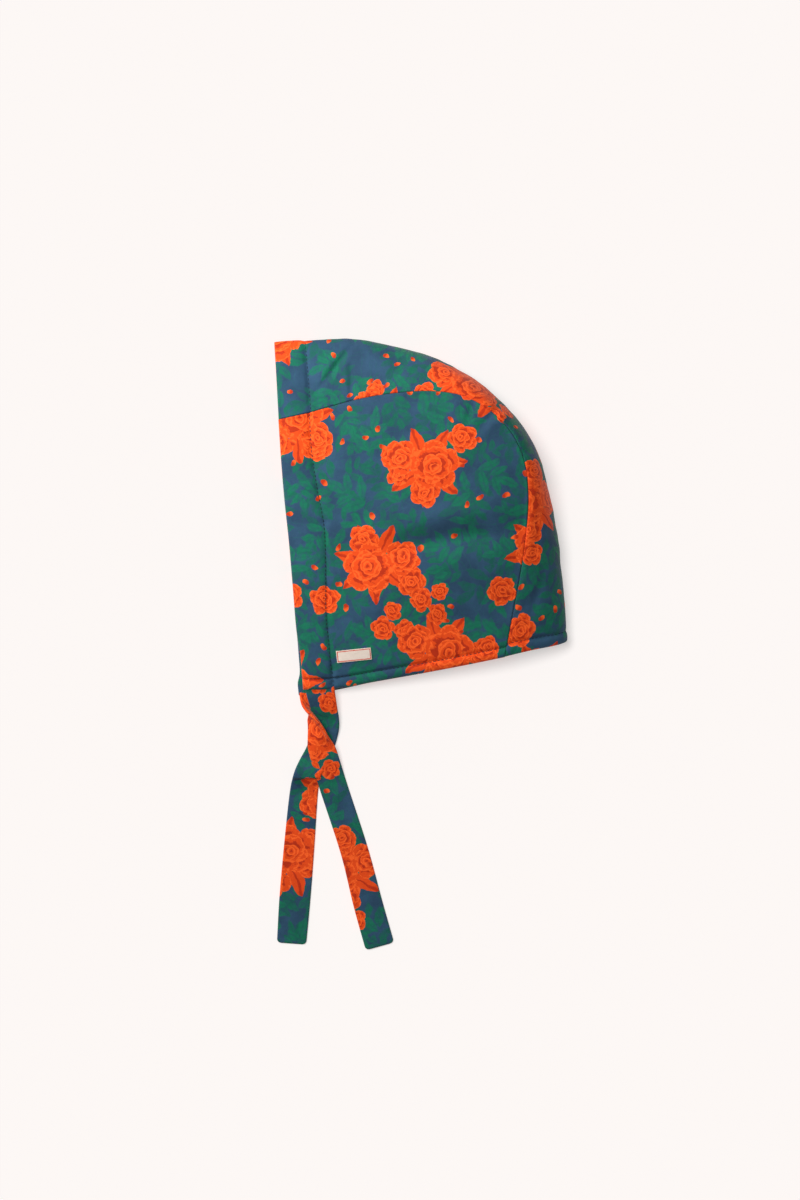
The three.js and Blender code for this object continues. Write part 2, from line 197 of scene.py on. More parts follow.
LOWER_TIE = [
    TieSection((-76.6, -26.6, 1.4), (-67.9, -26.4, 1.4), (-59.2, -26.2, 1.4)),
    TieSection((-76.6, -29.4, 1.4), (-67.9, -29.2, 1.4), (-59.2, -29.0, 1.4)),
    TieSection((-75.9, -34.0, 3.6), (-69.6, -34.2, 1.7), (-61.4, -34.8, 1.2)),
    TieSection((-74.5, -38.2, 7.2), (-70.4, -38.6, 2.8), (-65.0, -39.8, 1.2)),
    TieSection((-72.0, -41.8, 10.4), (-69.8, -42.2, 5.4), (-69.0, -43.6, 1.4)),
    TieSection((-69.0, -45.0, 12.0), (-67.2, -45.6, 7.6), (-71.0, -47.4, 2.0)),
    TieSection((-65.4, -49.0, 12.2), (-64.6, -49.6, 8.6), (-71.0, -51.4, 3.0)),
    TieSection((-61.4, -53.4, 11.0), (-62.9, -54.2, 8.4), (-71.0, -55.6, 3.8)),
    TieSection((-57.4, -58.8, 8.6), (-62.8, -59.4, 7.2), (-71.1, -60.0, 4.2)),
    TieSection((-53.8, -64.2, 5.8), (-62.3, -65.0, 5.7), (-70.9, -65.8, 4.4)),
    TieSection((-51.0, -72.4, 4.0), (-59.5, -75.0, 4.4), (-67.9, -77.4, 3.8)),
    TieSection((-46.0, -88.8, 1.4), (-54.4, -91.2, 2.2), (-62.8, -93.6, 2.3)),
    TieSection((-33.4, -127.6, 1.1), (-41.8, -130.0, 1.2), (-50.2, -132.4, 1.3)),
    TieSection((-24.6, -160.0, 1.2), (-33.4, -162.6, 1.3), (-42.2, -165.2, 1.5)),
    TieSection((-16.8, -187.6, 1.7), (-25.8, -190.1, 2.1), (-34.6, -192.5, 2.5)),
]


class Side(Enum):
    """The two side panels, as they lie."""

    UPPER = "upper"
    LOWER = "lower"


def soft_noise(x: np.ndarray, y: np.ndarray, size: float, seed: int) -> np.ndarray:
    """Smooth noise from -1 to 1 over a plane.

    Args:
        x: places along the first axis, in millimetres.
        y: places along the second axis.
        size: the width of one swell, in millimetres.
        seed: which of the repeatable patterns to take.

    Returns:
        The noise at each place.
    """
    cells = 64
    lattice = np.random.default_rng(seed).uniform(-1, 1, (cells, cells))
    gx, gy = np.asarray(x) / size, np.asarray(y) / size
    ix, iy = np.floor(gx).astype(int), np.floor(gy).astype(int)
    fx, fy = (share**3 * (share * (share * 6 - 15) + 10) for share in (gx - ix, gy - iy))
    (x0, x1), (y0, y1) = (ix % cells, (ix + 1) % cells), (iy % cells, (iy + 1) % cells)
    near = lattice[x0, y0] * (1 - fx) + lattice[x1, y0] * fx
    far = lattice[x0, y1] * (1 - fx) + lattice[x1, y1] * fx
    return near * (1 - fy) + far * fy


def smooth_step(value: np.ndarray, start: float, end: float) -> np.ndarray:
    """A smooth rise from 0 at the start to 1 at the end."""
    share = np.clip((value - start) / (end - start), 0, 1)
    return share * share * (3 - 2 * share)


def fold_depth(folds: list[SoftFold], x: np.ndarray, y: np.ndarray) -> np.ndarray:
    """How far soft folds lower a surface.

    Args:
        folds: the folds on the surface.
        x: places along X, in millimetres.
        y: places along Y.

    Returns:
        The depth at each place, in millimetres.
    """
    depth = np.zeros_like(x)
    for fold in folds:
        turn = math.radians(fold.turn)
        dx, dy = x - fold.x, y - fold.y
        along = (dx * math.cos(turn) + dy * math.sin(turn)) / fold.length
        across = (dy * math.cos(turn) - dx * math.sin(turn)) / fold.width
        depth += fold.depth * np.exp(-along**2 - across**2)
    return depth


def roll_off(distance: np.ndarray, radius: float) -> np.ndarray:
    """The drop of a quarter round: its radius at the edge, and nothing further in than the round."""
    inside = np.clip(radius - distance, 0, radius)
    return radius - np.sqrt(radius**2 - inside**2)


def rounded_edges(
    free_edge: np.ndarray, seam: np.ndarray, share: np.ndarray | float = 1.0
) -> tuple[np.ndarray, np.ndarray]:
    """Round a padded panel's wall along its edges.

    Args:
        free_edge: how far each place lies from a free edge, in millimetres.
        seam: how far it lies from a seam.
        share: how much of its round the free edge keeps.

    Returns:
        How far the outer side drops, and how far the inner side rises to meet it.
    """
    seam_drop = roll_off(seam, SEAM_ROLL) * SEAM_DEPTH / SEAM_ROLL
    drop = np.maximum(roll_off(free_edge, FREE_EDGE_ROLL) * share, seam_drop)
    rise = np.maximum(roll_off(free_edge, WALL - FREE_EDGE_ROLL), roll_off(seam, WALL - SEAM_ROLL))
    return drop, rise


def stitched_groove(past_casing: np.ndarray, past_hem: np.ndarray) -> np.ndarray:
    """The grooves that the two rows of stitches draw into the cloth.

    Args:
        past_casing: how far past the casing's stitches each place lies, in millimetres.
        past_hem: how far past the hem's stitches it lies.

    Returns:
        The share of a groove's depth at each place, 1 under the stitches.
    """
    shapes = []
    for distance, (before, past) in ((past_casing, CASING_GROOVE), (past_hem, HEM_GROOVE)):
        width = np.where(distance < 0, before, past)
        shapes.append(1 / (1 + (distance / width) ** 2) ** 1.5)
    return np.maximum(*shapes)


class Swell(NamedTuple):
    """Soft unevenness: its height, the width of one swell, and which of the repeatable patterns it is."""

    height: float
    size: float
    seed: int

    def over(self, x: np.ndarray, y: np.ndarray) -> np.ndarray:
        """The rise at each place, in millimetres."""
        return self.height * soft_noise(x, y, self.size, self.seed)


class Puckers(NamedTuple):
    """Small puckers, square to a row of stitches: their height next to it, the distance over which they
    die away, and which of the repeatable patterns they are."""

    height: float
    reach: float
    seed: int

    def over(self, along: np.ndarray, distance: np.ndarray) -> np.ndarray:
        """Raise the cloth along a row of stitches.

        Args:
            along: how far along the row each place lies, in millimetres.
            distance: how far from the row it lies.

        Returns:
            The rise at each place, in millimetres.
        """
        broad = soft_noise(along, distance * 0.35, 3.6, self.seed)
        narrow = soft_noise(along, distance * 0.3, 2.1, self.seed + 1)
        return self.height * (broad + 0.5 * narrow) * np.exp(-np.abs(distance) / self.reach)


def run_lengths(points: np.ndarray, axis: int = 0) -> np.ndarray:
    """Lengths along a line of points, or along the lines of a grid.

    Args:
        points: the places, with their coordinates on the last axis.
        axis: the axis to run along.

    Returns:
        The length from the line's start to each place.
    """
    steps = np.linalg.norm(np.diff(points, axis=axis), axis=-1)
    start = np.zeros_like(np.take(steps, [0], axis=axis))
    return np.concatenate([start, np.cumsum(steps, axis=axis)], axis=axis)


def value_at(place: float, run: np.ndarray, values: np.ndarray) -> np.ndarray:
    """The value at one place along a line whose points have those running lengths and values."""
    return np.array([np.interp(place, run, column) for column in values.T])


def marked_places(
    marks: list[float], step: float, fine_step: float, reach: float
) -> tuple[np.ndarray, list[int]]:
    """Places along a line that has marks on it, with finer steps on both sides of each mark.

    Args:
        marks: the marks in order, from the line's start to its end, in millimetres.
        step: the usual distance between places.
        fine_step: the distance between places near a mark.
        reach: how far from a mark the steps are fine.

    Returns:
        The places in order, and the position of each mark among them.
    """
    places, positions = [0.0], [0]
    for start, end in zip(marks, marks[1:]):
        length, part = end - start, [0.0]
        while part[-1] < length:
            near_mark = part[-1] <= reach or part[-1] >= length - reach - step
            part.append(part[-1] + (fine_step if near_mark else step))
        places.extend(start + np.array(part[1:]) * (length / part[-1]))
        positions.append(len(places) - 1)
    return np.array(places), positions


def nearest_on_line(x: np.ndarray, y: np.ndarray, line: np.ndarray) -> tuple[np.ndarray, np.ndarray]:
    """How far places are from a line, seen from above.

    Args:
        x: places along X, rows by columns, in millimetres.
        y: places along Y.
        line: closely spaced points of the line.

    Returns:
        The distance to the line, and how far along the line the nearest point lies.
    """
    run = run_lengths(line[:, :2])
    distance, along = np.zeros_like(x), np.zeros_like(x)
    for row in range(len(x)):
        gaps = np.hypot(x[row][:, None] - line[:, 0], y[row][:, None] - line[:, 1])
        distance[row], along[row] = gaps.min(axis=1), run[gaps.argmin(axis=1)]
    return distance, along


class SmoothCurve:
    """A smooth curve through points, with its parameter running from 0 to 1."""

    def __init__(self, points: list[tuple[float, ...]]) -> None:
        """Keep the points, with one more beyond each end.

        Args:
            points: the places that the curve goes through.
        """
        inner = np.array(points, dtype=float)
        self.points = np.vstack([2 * inner[0] - inner[1], inner, 2 * inner[-1] - inner[-2]])
        self.spans = len(inner) - 1

    def at(self, place: np.ndarray) -> np.ndarray:
        """Places on the curve.

        Args:
            place: parameters from 0 to 1, in an array of any shape.

        Returns:
            The places, with one more axis than the parameters.
        """
        scaled = np.clip(np.asarray(place, dtype=float), 0, 1) * self.spans
        index = np.minimum(scaled.astype(int), self.spans - 1)
        t = (scaled - index)[..., None]
        before, start, end, after = (self.points[index + k] for k in range(4))
        leave, arrive = (end - before) / 2, (after - start) / 2
        bend = -3 * start + 3 * end - 2 * leave - arrive
        return start + leave * t + bend * t**2 + (2 * start - 2 * end + leave + arrive) * t**3


SEAM = SmoothCurve([(s.seam_x, s.seam_y, s.height) for s in CROWN_SECTIONS])
RIM = SmoothCurve([(s.rim_x, s.rim_y, 0) for s in CROWN_SECTIONS])


def inward_at(place: np.ndarray) -> np.ndarray:
    """The level direction from the outline to the seam at places along the crown panel."""
    inward = (SEAM.at(place) - RIM.at(place)) * (1, 1, 0)
    return inward / np.linalg.norm(inward, axis=-1, keepdims=True)


def hex_linear(code: str) -> tuple[float, float, float, float]:
    """Turn an sRGB hex colour into a linear one.

    Args:
        code: the colour, as six hex digits after a hash sign.

    Returns:
        Red, green, blue and alpha, in linear light.
    """
    srgb = [int(code[k : k + 2], 16) / 255 for k in (1, 3, 5)]
    linear = [c / 12.92 if c <= 0.04045 else ((c + 0.055) / 1.055) ** 2.4 for c in srgb]
    return (*linear, 1.0)


def add_node(tree: NodeTree, kind: str, inputs: dict | None = None, **settings: object) -> Node:
    """Add a shader node with its settings, values and links.

    Args:
        tree: the node tree that it goes into.
        kind: the node's type name, after the words ShaderNode.
        inputs: a value, a socket or a node for each input that isn't left alone, by name or number.
        settings: the node's own properties.

    Returns:
        The new node.
    """
    node = tree.nodes.new("ShaderNode" + kind)
    for name, value in settings.items():
        setattr(node, name, value)
    for name, value in (inputs or {}).items():
        if isinstance(value, Node):
            value = next(out for out in value.outputs if out.enabled)
        if isinstance(value, NodeSocket):
            tree.links.new(value, node.inputs[name])
        else:
            node.inputs[name].default_value = value
    return node


def new_material(name: str) -> tuple[Material, NodeTree]:
    """Make an empty node material.

    Args:
        name: the material's name.

    Returns:
        The material and its node tree.
    """
    material = bpy.data.materials.new(name)
    material.use_nodes = True
    material.node_tree.nodes.clear()
    return material, material.node_tree


@dataclass(frozen=True)
class ClothFinish:
    """What every cloth finish shares: its gloss, and the size and height of its plain weave."""

    name: str
    roughness: float
    sheen: float
    thread_mm: float
    relief_mm: float
    sheen_tint: str = "#f3ece4"

    def build(self) -> Material:
        """Make the material: its colour with the weave's painted light and shade, the weave, the unevenness
        of pressed cloth, and the sheen.

        Returns:
            The material, which reads the piece's own UV map of the flat cloth.
        """
        material, tree = new_material(self.name)
        flat = add_node(tree, "UVMap", uv_map="cloth")
        cloth = add_node(tree, "VectorMath", {0: flat, 1: (1 / MM, 1 / MM, 0)}, operation="MULTIPLY")
        color, weave = self.paint(tree, cloth), self.weave(tree, cloth)
        # Painted light and shade: the colour is made lighter on top of the threads, where they catch the
        # light, and darker between them, where shade falls.
        painted_light_and_shade = add_node(tree, "MapRange", {"Value": weave, "From Min": 0.2, "To Min": 0.9, "To Max": 1.03})
        threads = add_node(tree, "VectorMath", {0: color, "Scale": painted_light_and_shade}, operation="SCALE")
        # Pressed cloth still rises and falls softly, about every 6 mm.
        swells = {"Vector": cloth, "Scale": 0.16, "Detail": 3.0}
        noise = add_node(tree, "TexNoise", swells, noise_dimensions="2D")
        pressed = add_node(tree, "Bump", {"Height": noise, "Distance": 0.9 * MM, "Strength": 0.55})
        relief = {"Height": weave, "Distance": self.relief_mm * MM, "Strength": 0.6, "Normal": pressed}
        look = {
            "Base Color": threads,
            "Roughness": self.roughness,
            "Specular IOR Level": 0.2,
            "Sheen Weight": self.sheen,
            "Sheen Roughness": 0.45,
            "Sheen Tint": hex_linear(self.sheen_tint),
            "Normal": add_node(tree, "Bump", relief),
        }
        add_node(tree, "OutputMaterial", {0: add_node(tree, "BsdfPrincipled", look)})
        return material

    def paint(self, tree: NodeTree, cloth: Node) -> Node:
        """Give the colour of the cloth; each finish has its own way."""
        raise NotImplementedError

    def weave(self, tree: NodeTree, cloth: Node) -> Node:
        """Raise the threads of a plain weave, each over one thread and under the next.

        Args:
            tree: the material's node tree.
            cloth: gives the place on the cloth, in millimetres.

        Returns:
            The height, from 0 between the threads to 1 on top of one.
        """
        threads = add_node(tree, "VectorMath", {0: cloth, "Scale": 1 / self.thread_mm}, operation="SCALE")
        squares = {"Vector": threads, "Color1": (1, 1, 1, 1), "Color2": (0, 0, 0, 1), "Scale": 1.0}
        over = add_node(tree, "TexChecker", squares)
        crown = add_node(tree, "VectorMath", {0: threads, 1: (math.pi, math.pi, 0)}, operation="MULTIPLY")
        for operation in ("SINE", "ABSOLUTE"):
            crown = add_node(tree, "VectorMath", {0: crown}, operation=operation)
        parts = add_node(tree, "SeparateXYZ", {0: crown})
        warp_or_weft = {0: over.outputs["Fac"], 2: parts.outputs[0], 3: parts.outputs[1]}
        return add_node(tree, "Mix", warp_or_weft, data_type="FLOAT")


class Whorl(NamedTuple):
    """One ring of petals in a printed blossom: its size and place as shares of the blossom's radius,
    the depth of the notches between petals, how uneven its paint is, and the depths at which the
    light tips end, the middle tone starts and ends, and the deep tone starts."""

    size: float
    shift: tuple[float, float]
    petals: int
    turn: float
    notch: float
    paint: float
    tones: tuple[float, float, float, float]


class Foliage(NamedTuple):
    """One layer of printed leaves: spacing and leaf size in millimetres, its seed and its colour."""

    spacing: float
    length: float
    width: float
    seed: float
    color: str


class Blossom(NamedTuple):
    """A printed blossom: its centre in its motif and its radius, in millimetres."""

    x: float
    y: float
    radius: float


class Motif(NamedTuple):
    """Blossoms printed together: the motif's spacing in millimetres, its seed, how far it strays from
    even rows, the share of its places that stay empty, and its blossoms from back to front."""

    spacing: float
    seed: float
    jitter: float
    left_out: float
    blossoms: tuple[Blossom, ...]


SMALL_ROSE = (Blossom(0.0, 0.0, 9.4),)
THREE_BLOOMS = (Blossom(-7.5, -3.5, 6.8), Blossom(1.0, 7.0, 7.6), Blossom(7.0, -4.5, 6.0))
BOUQUET = (Blossom(13.5, -10.5, 11.4), Blossom(6.0, 15.0, 9.6), Blossom(-5.0, 1.0, 16.0))


@dataclass(frozen=True)
class PrintedPoplin(ClothFinish):
    """Cotton poplin, plain woven and screen printed in flat colours."""

    # Fine cotton shows a dull, even surface, with a faint sheen where it turns away from the eye. Its
    # thread is drawn 0.55 mm wide, about twice the real one, so that the weave shows.
    name: str = "printed cotton poplin"
    roughness: float = 0.78
    sheen: float = 0.12
    thread_mm: float = 0.55
    relief_mm: float = 0.07
    ground: str = "#294b66"
    ground_deep: str = "#224059"
    leaf_vein: str = "#174a50"
    petal: str = "#dd4509"
    petal_light: str = "#f55d1c"
    petal_deep: str = "#b22b04"
    # How many swells there are in a millimetre, and how far they push an outline.
    waver: tuple[tuple[float, float], ...] = ((0.11, 3.2), (0.55, 0.8))
    foliage: tuple[Foliage, ...] = (
        Foliage(26.0, 6.6, 2.7, 3.0, "#0f564c"),
        Foliage(23.5, 5.8, 2.4, 11.0, "#06614a"),
        Foliage(28.0, 7.0, 2.8, 29.0, "#076a4e"),
    )
    # Where a spray's leaves stand: along the stem in millimetres, their turn and their share of the size.
    spray: tuple[tuple[float, float, float], ...] = (
        (4.5, 0.0, 1.0), (2.0, 0.85, 0.85), (0.5, -0.95, 0.8), (-5.0, 1.05, 0.95), (-6.5, -0.9, 1.0)
    )
    whorls: tuple[Whorl, ...] = (
        Whorl(1.0, (0.0, 0.0), 5, 0.3, 0.24, 0.5, (0.05, 0.07, 0.26, 0.29)),
        Whorl(0.76, (0.08, -0.07), 5, 1.7, 0.22, 0.5, (0.07, 0.1, 0.24, 0.28)),
        Whorl(0.56, (-0.03, 0.08), 4, 0.9, 0.22, 0.4, (0.1, 0.14, 0.3, 0.34)),
        Whorl(0.37, (0.07, 0.02), 3, 2.3, 0.22, 0.3, (0.14, 0.2, 0.42, 0.48)),
        Whorl(0.19, (0.03, 0.07), 3, 0.5, 0.2, 0.2, (0.3, 0.36, 0.6, 0.7)),
    )
    motifs: tuple[Motif, ...] = (
        Motif(47.0, 5.0, 0.75, 0.5, SMALL_ROSE),
        Motif(63.0, 13.0, 0.7, 0.4, THREE_BLOOMS),
        Motif(73.0, 2.0, 0.55, 0.12, BOUQUET),
    )
    leaf_jitter: float = 0.8
    star_leaves: int = 7
    star_turn: float = 0.6
    star_reach: float = 26.0  # how far its tips are from the bouquet's centre
    star_notch: float = 17.0  # how deep it is cut between two leaves
    bud_spacing: float = 9.5
    bud_seed: float = 7.0
    bud_jitter: float = 0.85
    bud_length: float = 2.3
    bud_width: float = 1.5
    buds_left_out: float = 0.8

    def paint(self, tree: NodeTree, cloth: Node) -> Node:
        """Print the ground in two brushed tones, then leaf sprays, blossoms and buds over it.

        Args:
            tree: the material's node tree.
            cloth: gives the place on the cloth, in millimetres.

        Returns:
            The colour.
        """
        hand = self.hand_drawn(tree, cloth)
        strokes = self.brushed(tree, cloth, 0.07, 4.0, 1.0)
        tones = {0: strokes, 6: hex_linear(self.ground), 7: hex_linear(self.ground_deep)}
        color = add_node(tree, "Mix", tones, data_type="RGBA")
        for layer in self.foliage:
            color = self.leaves(tree, cloth, hand, color, layer)
        return self.buds(tree, hand, self.blossoms(tree, hand, color))

    def hand_drawn(self, tree: NodeTree, cloth: Node) -> Node:
        """Waver the coordinates, so that outlines look painted by hand.

        Args:
            tree: the material's node tree.
            cloth: gives the place on the cloth, in millimetres.

        Returns:
            The wavering place.
        """
        place = cloth
        for scale, reach in self.waver:
            swell = {"Vector": cloth, "Scale": scale, "Detail": 1.0}
            noise = add_node(tree, "TexNoise", swell, noise_dimensions="2D").outputs["Color"]
            centred = add_node(tree, "VectorMath", {0: noise, 1: (0.5, 0.5, 0.5)}, operation="SUBTRACT")
            moved = {0: centred, 1: (reach, reach, 0), 2: place}
            place = add_node(tree, "VectorMath", moved, operation="MULTIPLY_ADD")
        return place

    def brushed(self, tree: NodeTree, cloth: Node, scale: float, detail: float, most: float) -> Node:
        """Make uneven strokes, as of a dry brush.

        Args:
            tree: the material's node tree.
            cloth: gives the place on the cloth, in millimetres.
            scale: how many strokes there are in a millimetre.
            detail: how fine their edges are.
            most: the share where a stroke is strongest.

        Returns:
            The share, from 0 to the most.
        """
        stroke = {"Vector": cloth, "Scale": scale, "Detail": detail}
        noise = add_node(tree, "TexNoise", stroke, noise_dimensions="2D")
        share = {"Value": noise, "From Min": 0.35, "From Max": 0.65, "To Max": most}
        return add_node(tree, "MapRange", share)

    def scatter(
        self, tree: NodeTree, place: Node, spacing: float, seed: float, jitter: float
    ) -> tuple[Node, Node]:
        """Scatter motifs over the cloth.

        Args:
            tree: the material's node tree.
            place: gives the place on the cloth, in millimetres.
            spacing: the distance between motifs, in millimetres.
            seed: moves and turns the whole scatter, so that no two are alike.
            jitter: how far motifs stray from even rows, from 0 to 1.

        Returns:
            The place from the nearest motif's centre, turned at random, in millimetres, and the node
            that splits the motif's three random numbers.
        """
        shift = {"Location": (17.3 * seed, 9.1 * seed, 0), "Rotation": (0, 0, 0.31 * seed)}
        moved = add_node(tree, "Mapping", {"Vector": place, **shift})
        rows = {"Vector": moved, "Scale": 1 / spacing, "Randomness": jitter}
        cells = add_node(tree, "TexVoronoi", rows, voronoi_dimensions="2D", feature="F1")
        chance = add_node(tree, "SeparateColor", {0: cells.outputs["Color"]})
        local = add_node(tree, "VectorMath", {0: moved, 1: cells.outputs["Position"]}, operation="SUBTRACT")
        turn = add_node(tree, "Math", {0: chance.outputs[2], 1: 2 * math.pi}, operation="MULTIPLY")
        turned = add_node(tree, "VectorRotate", {"Vector": local, "Angle": turn}, rotation_type="Z_AXIS")
        return turned, chance

    def leaves(self, tree: NodeTree, cloth: Node, hand: Node, under: Node, layer: Foliage) -> Node:
        """Draw one layer of leaf sprays, each of five slender leaves along a stem.

        Args:
            tree: the material's node tree.
            cloth: gives the place on the cloth, in millimetres.
            hand: gives the wavering place.
            under: gives the colour drawn over.
            layer: the layer's spacing, leaf size and colour.

        Returns:
            The new colour.
        """
        local, chance = self.scatter(tree, hand, layer.spacing, layer.seed, self.leaf_jitter)
        size = add_node(tree, "MapRange", {"Value": chance.outputs[1], "To Min": 1.25, "To Max": 0.8})
        sized = add_node(tree, "VectorMath", {0: local, "Scale": size}, operation="SCALE")
        covered = on_rib = 0.0
        for station, turn, share in self.spray:
            length, width = layer.length * share, layer.width * share
            start = (-length * 0.9 - station * math.cos(turn), -station * math.sin(turn), 0)
            leaf = add_node(tree, "Mapping", {"Vector": sized, "Rotation": (0, 0, turn), "Location": start})
            parts = add_node(tree, "SeparateXYZ", {0: leaf})
            along = add_node(tree, "Math", {0: parts.outputs[0], 1: 1 / length}, operation="MULTIPLY")
            square = add_node(tree, "Math", {0: along, 1: along}, operation="MULTIPLY")
            rest = add_node(tree, "Math", {0: 1.0, 1: square}, operation="SUBTRACT", use_clamp=True)
            profile = add_node(tree, "Math", {0: rest, 1: 0.9}, operation="POWER")
            half = add_node(tree, "Math", {0: profile, 1: width}, operation="MULTIPLY")
            side = add_node(tree, "Math", {0: parts.outputs[1]}, operation="ABSOLUTE")
            inside = add_node(tree, "Math", {0: half, 1: side}, operation="SUBTRACT")
            shape = add_node(tree, "MapRange", {"Value": inside, "From Min": -0.25, "From Max": 0.45})
            rib = add_node(tree, "MapRange", {"Value": side, "From Min": 0.55, "From Max": 0.1})
            rib = add_node(tree, "Math", {0: rib, 1: shape}, operation="MULTIPLY")
            covered = add_node(tree, "Math", {0: covered, 1: shape}, operation="MAXIMUM")
            on_rib = add_node(tree, "Math", {0: on_rib, 1: rib}, operation="MAXIMUM")
        wash = {0: self.brushed(tree, cloth, 0.3, 2.0, 0.5), 6: hex_linear(layer.color), 7: under}
        washed = add_node(tree, "Mix", wash, data_type="RGBA")
        veined = add_node(tree, "Math", {0: on_rib, 1: 0.3}, operation="MULTIPLY")
        drawn = {0: veined, 6: washed, 7: hex_linear(self.leaf_vein)}
        leaf_color = add_node(tree, "Mix", drawn, data_type="RGBA")
        return add_node(tree, "Mix", {0: covered, 6: under, 7: leaf_color}, data_type="RGBA")

    def lobes(
        self, tree: NodeTree, place: Node, petals: int, turn: Node | float
    ) -> tuple[Node, NodeSocket]:
        """Divide the turn round a centre into petals.

        Args:
            tree: the material's node tree.
            place: gives the place from the centre, in millimetres.
            petals: how many petals there are.
            turn: how far they are turned.

        Returns:
            The swell, from 0 between two petals to 1 in the middle of one, and the distance from the
            centre.
        """
        parts = add_node(tree, "SeparateXYZ", {0: place})
        angle = add_node(tree, "Math", {0: parts.outputs[1], 1: parts.outputs[0]}, operation="ARCTAN2")
        lobe = add_node(tree, "Math", {0: angle, 1: petals / 2, 2: turn}, operation="MULTIPLY_ADD")
        for operation in ("SINE", "ABSOLUTE"):
            lobe = add_node(tree, "Math", {0: lobe}, operation=operation)
        return lobe, add_node(tree, "VectorMath", {0: place}, operation="LENGTH").outputs["Value"]

    def petal_depth(self, tree: NodeTree, place: Node, radius: Node | float, whorl: Whorl) -> Node:
        """How far inside one ring of petals a place lies.

        Args:
            tree: the material's node tree.
            place: gives the place from the blossom's centre, in millimetres.
            radius: the blossom's radius.
            whorl: the ring of petals.

        Returns:
            The depth as a share of the ring's size, less than 0 outside it.
        """
        shift = add_node(tree, "VectorMath", {0: (*whorl.shift, 0), "Scale": radius}, operation="SCALE")
        centred = add_node(tree, "VectorMath", {0: place, 1: shift}, operation="SUBTRACT")
        turn = add_node(tree, "Math", {0: radius, 1: 0.37, 2: whorl.turn}, operation="MULTIPLY_ADD")
        scallop, length = self.lobes(tree, centred, whorl.petals, turn)
        size = add_node(tree, "Math", {0: radius, 1: whorl.size}, operation="MULTIPLY")
        share = add_node(tree, "Math", {0: length, 1: size}, operation="DIVIDE")
        lobe = add_node(tree, "Math", {0: scallop, 1: 0.55}, operation="POWER")
        notched = {0: lobe, 1: whorl.notch, 2: 1 - whorl.notch}
        edge = add_node(tree, "Math", notched, operation="MULTIPLY_ADD")
        return add_node(tree, "Math", {0: edge, 1: share}, operation="SUBTRACT")

    def blossoms(self, tree: NodeTree, hand: Node, under: Node) -> Node:
        """Draw all blossoms: find the foremost one at each place, then paint its rings of petals.

        Args:
            tree: the material's node tree.
            hand: gives the wavering place.
            under: gives the colour drawn over.

        Returns:
            The new colour.
        """
        place, radius, mask = (99.0, 99.0, 0.0), 1.0, 0.0  # far outside the blossoms, until one is found
        for motif in self.motifs:
            local, chance = self.scatter(tree, hand, motif.spacing, motif.seed, motif.jitter)
            kept = {0: chance.outputs[0], 1: motif.left_out}
            shown = add_node(tree, "Math", kept, operation="GREATER_THAN")
            if motif.blossoms is BOUQUET:
                under = self.star_of_leaves(tree, local, under, shown)
            for blossom in motif.blossoms:
                centre = (blossom.x, blossom.y, 0)
                here = add_node(tree, "VectorMath", {0: local, 1: centre}, operation="SUBTRACT")
                depth = self.petal_depth(tree, here, blossom.radius, self.whorls[0])
                outline = {"From Min": -0.08 / blossom.radius, "From Max": 0.14 / blossom.radius}
                edge = add_node(tree, "MapRange", {"Value": depth, **outline})
                covered = add_node(tree, "Math", {0: edge, 1: shown}, operation="MULTIPLY")
                front = add_node(tree, "Math", {0: covered, 1: 0.5}, operation="GREATER_THAN")
                place = add_node(tree, "Mix", {0: front, 4: place, 5: here}, data_type="VECTOR")
                radius = add_node(tree, "Mix", {0: front, 2: radius, 3: blossom.radius}, data_type="FLOAT")
                mask = add_node(tree, "Math", {0: mask, 1: covered}, operation="MAXIMUM")
        stroke = {"Vector": place, "Scale": 0.42, "Detail": 2.0}
        noise = add_node(tree, "TexNoise", stroke, noise_dimensions="2D")
        uneven = add_node(tree, "Math", {0: noise, 1: 0.9, 2: -0.45}, operation="MULTIPLY_ADD")
        tones = [hex_linear(code) for code in (self.petal_light, self.petal, self.petal, self.petal_deep)]
        color = None
        for whorl in self.whorls:
            depth = self.petal_depth(tree, place, radius, whorl)
            painted = add_node(tree, "Math", {0: uneven, 1: whorl.paint, 2: depth}, operation="MULTIPLY_ADD")
            tone = add_node(tree, "ValToRGB", {0: painted})
            stops = tone.color_ramp.elements
            stops[0].color, stops[1].color = tones[0], tones[-1]
            for position, petal in zip(whorl.tones, tones):
                stops.new(position).color = petal
            if color is None:
                color = tone
                continue
            shown = add_node(tree, "MapRange", {"Value": depth, "From Min": -0.01, "From Max": 0.018})
            color = add_node(tree, "Mix", {0: shown, 6: color, 7: tone}, data_type="RGBA")
        return add_node(tree, "Mix", {0: mask, 6: under, 7: color}, data_type="RGBA")

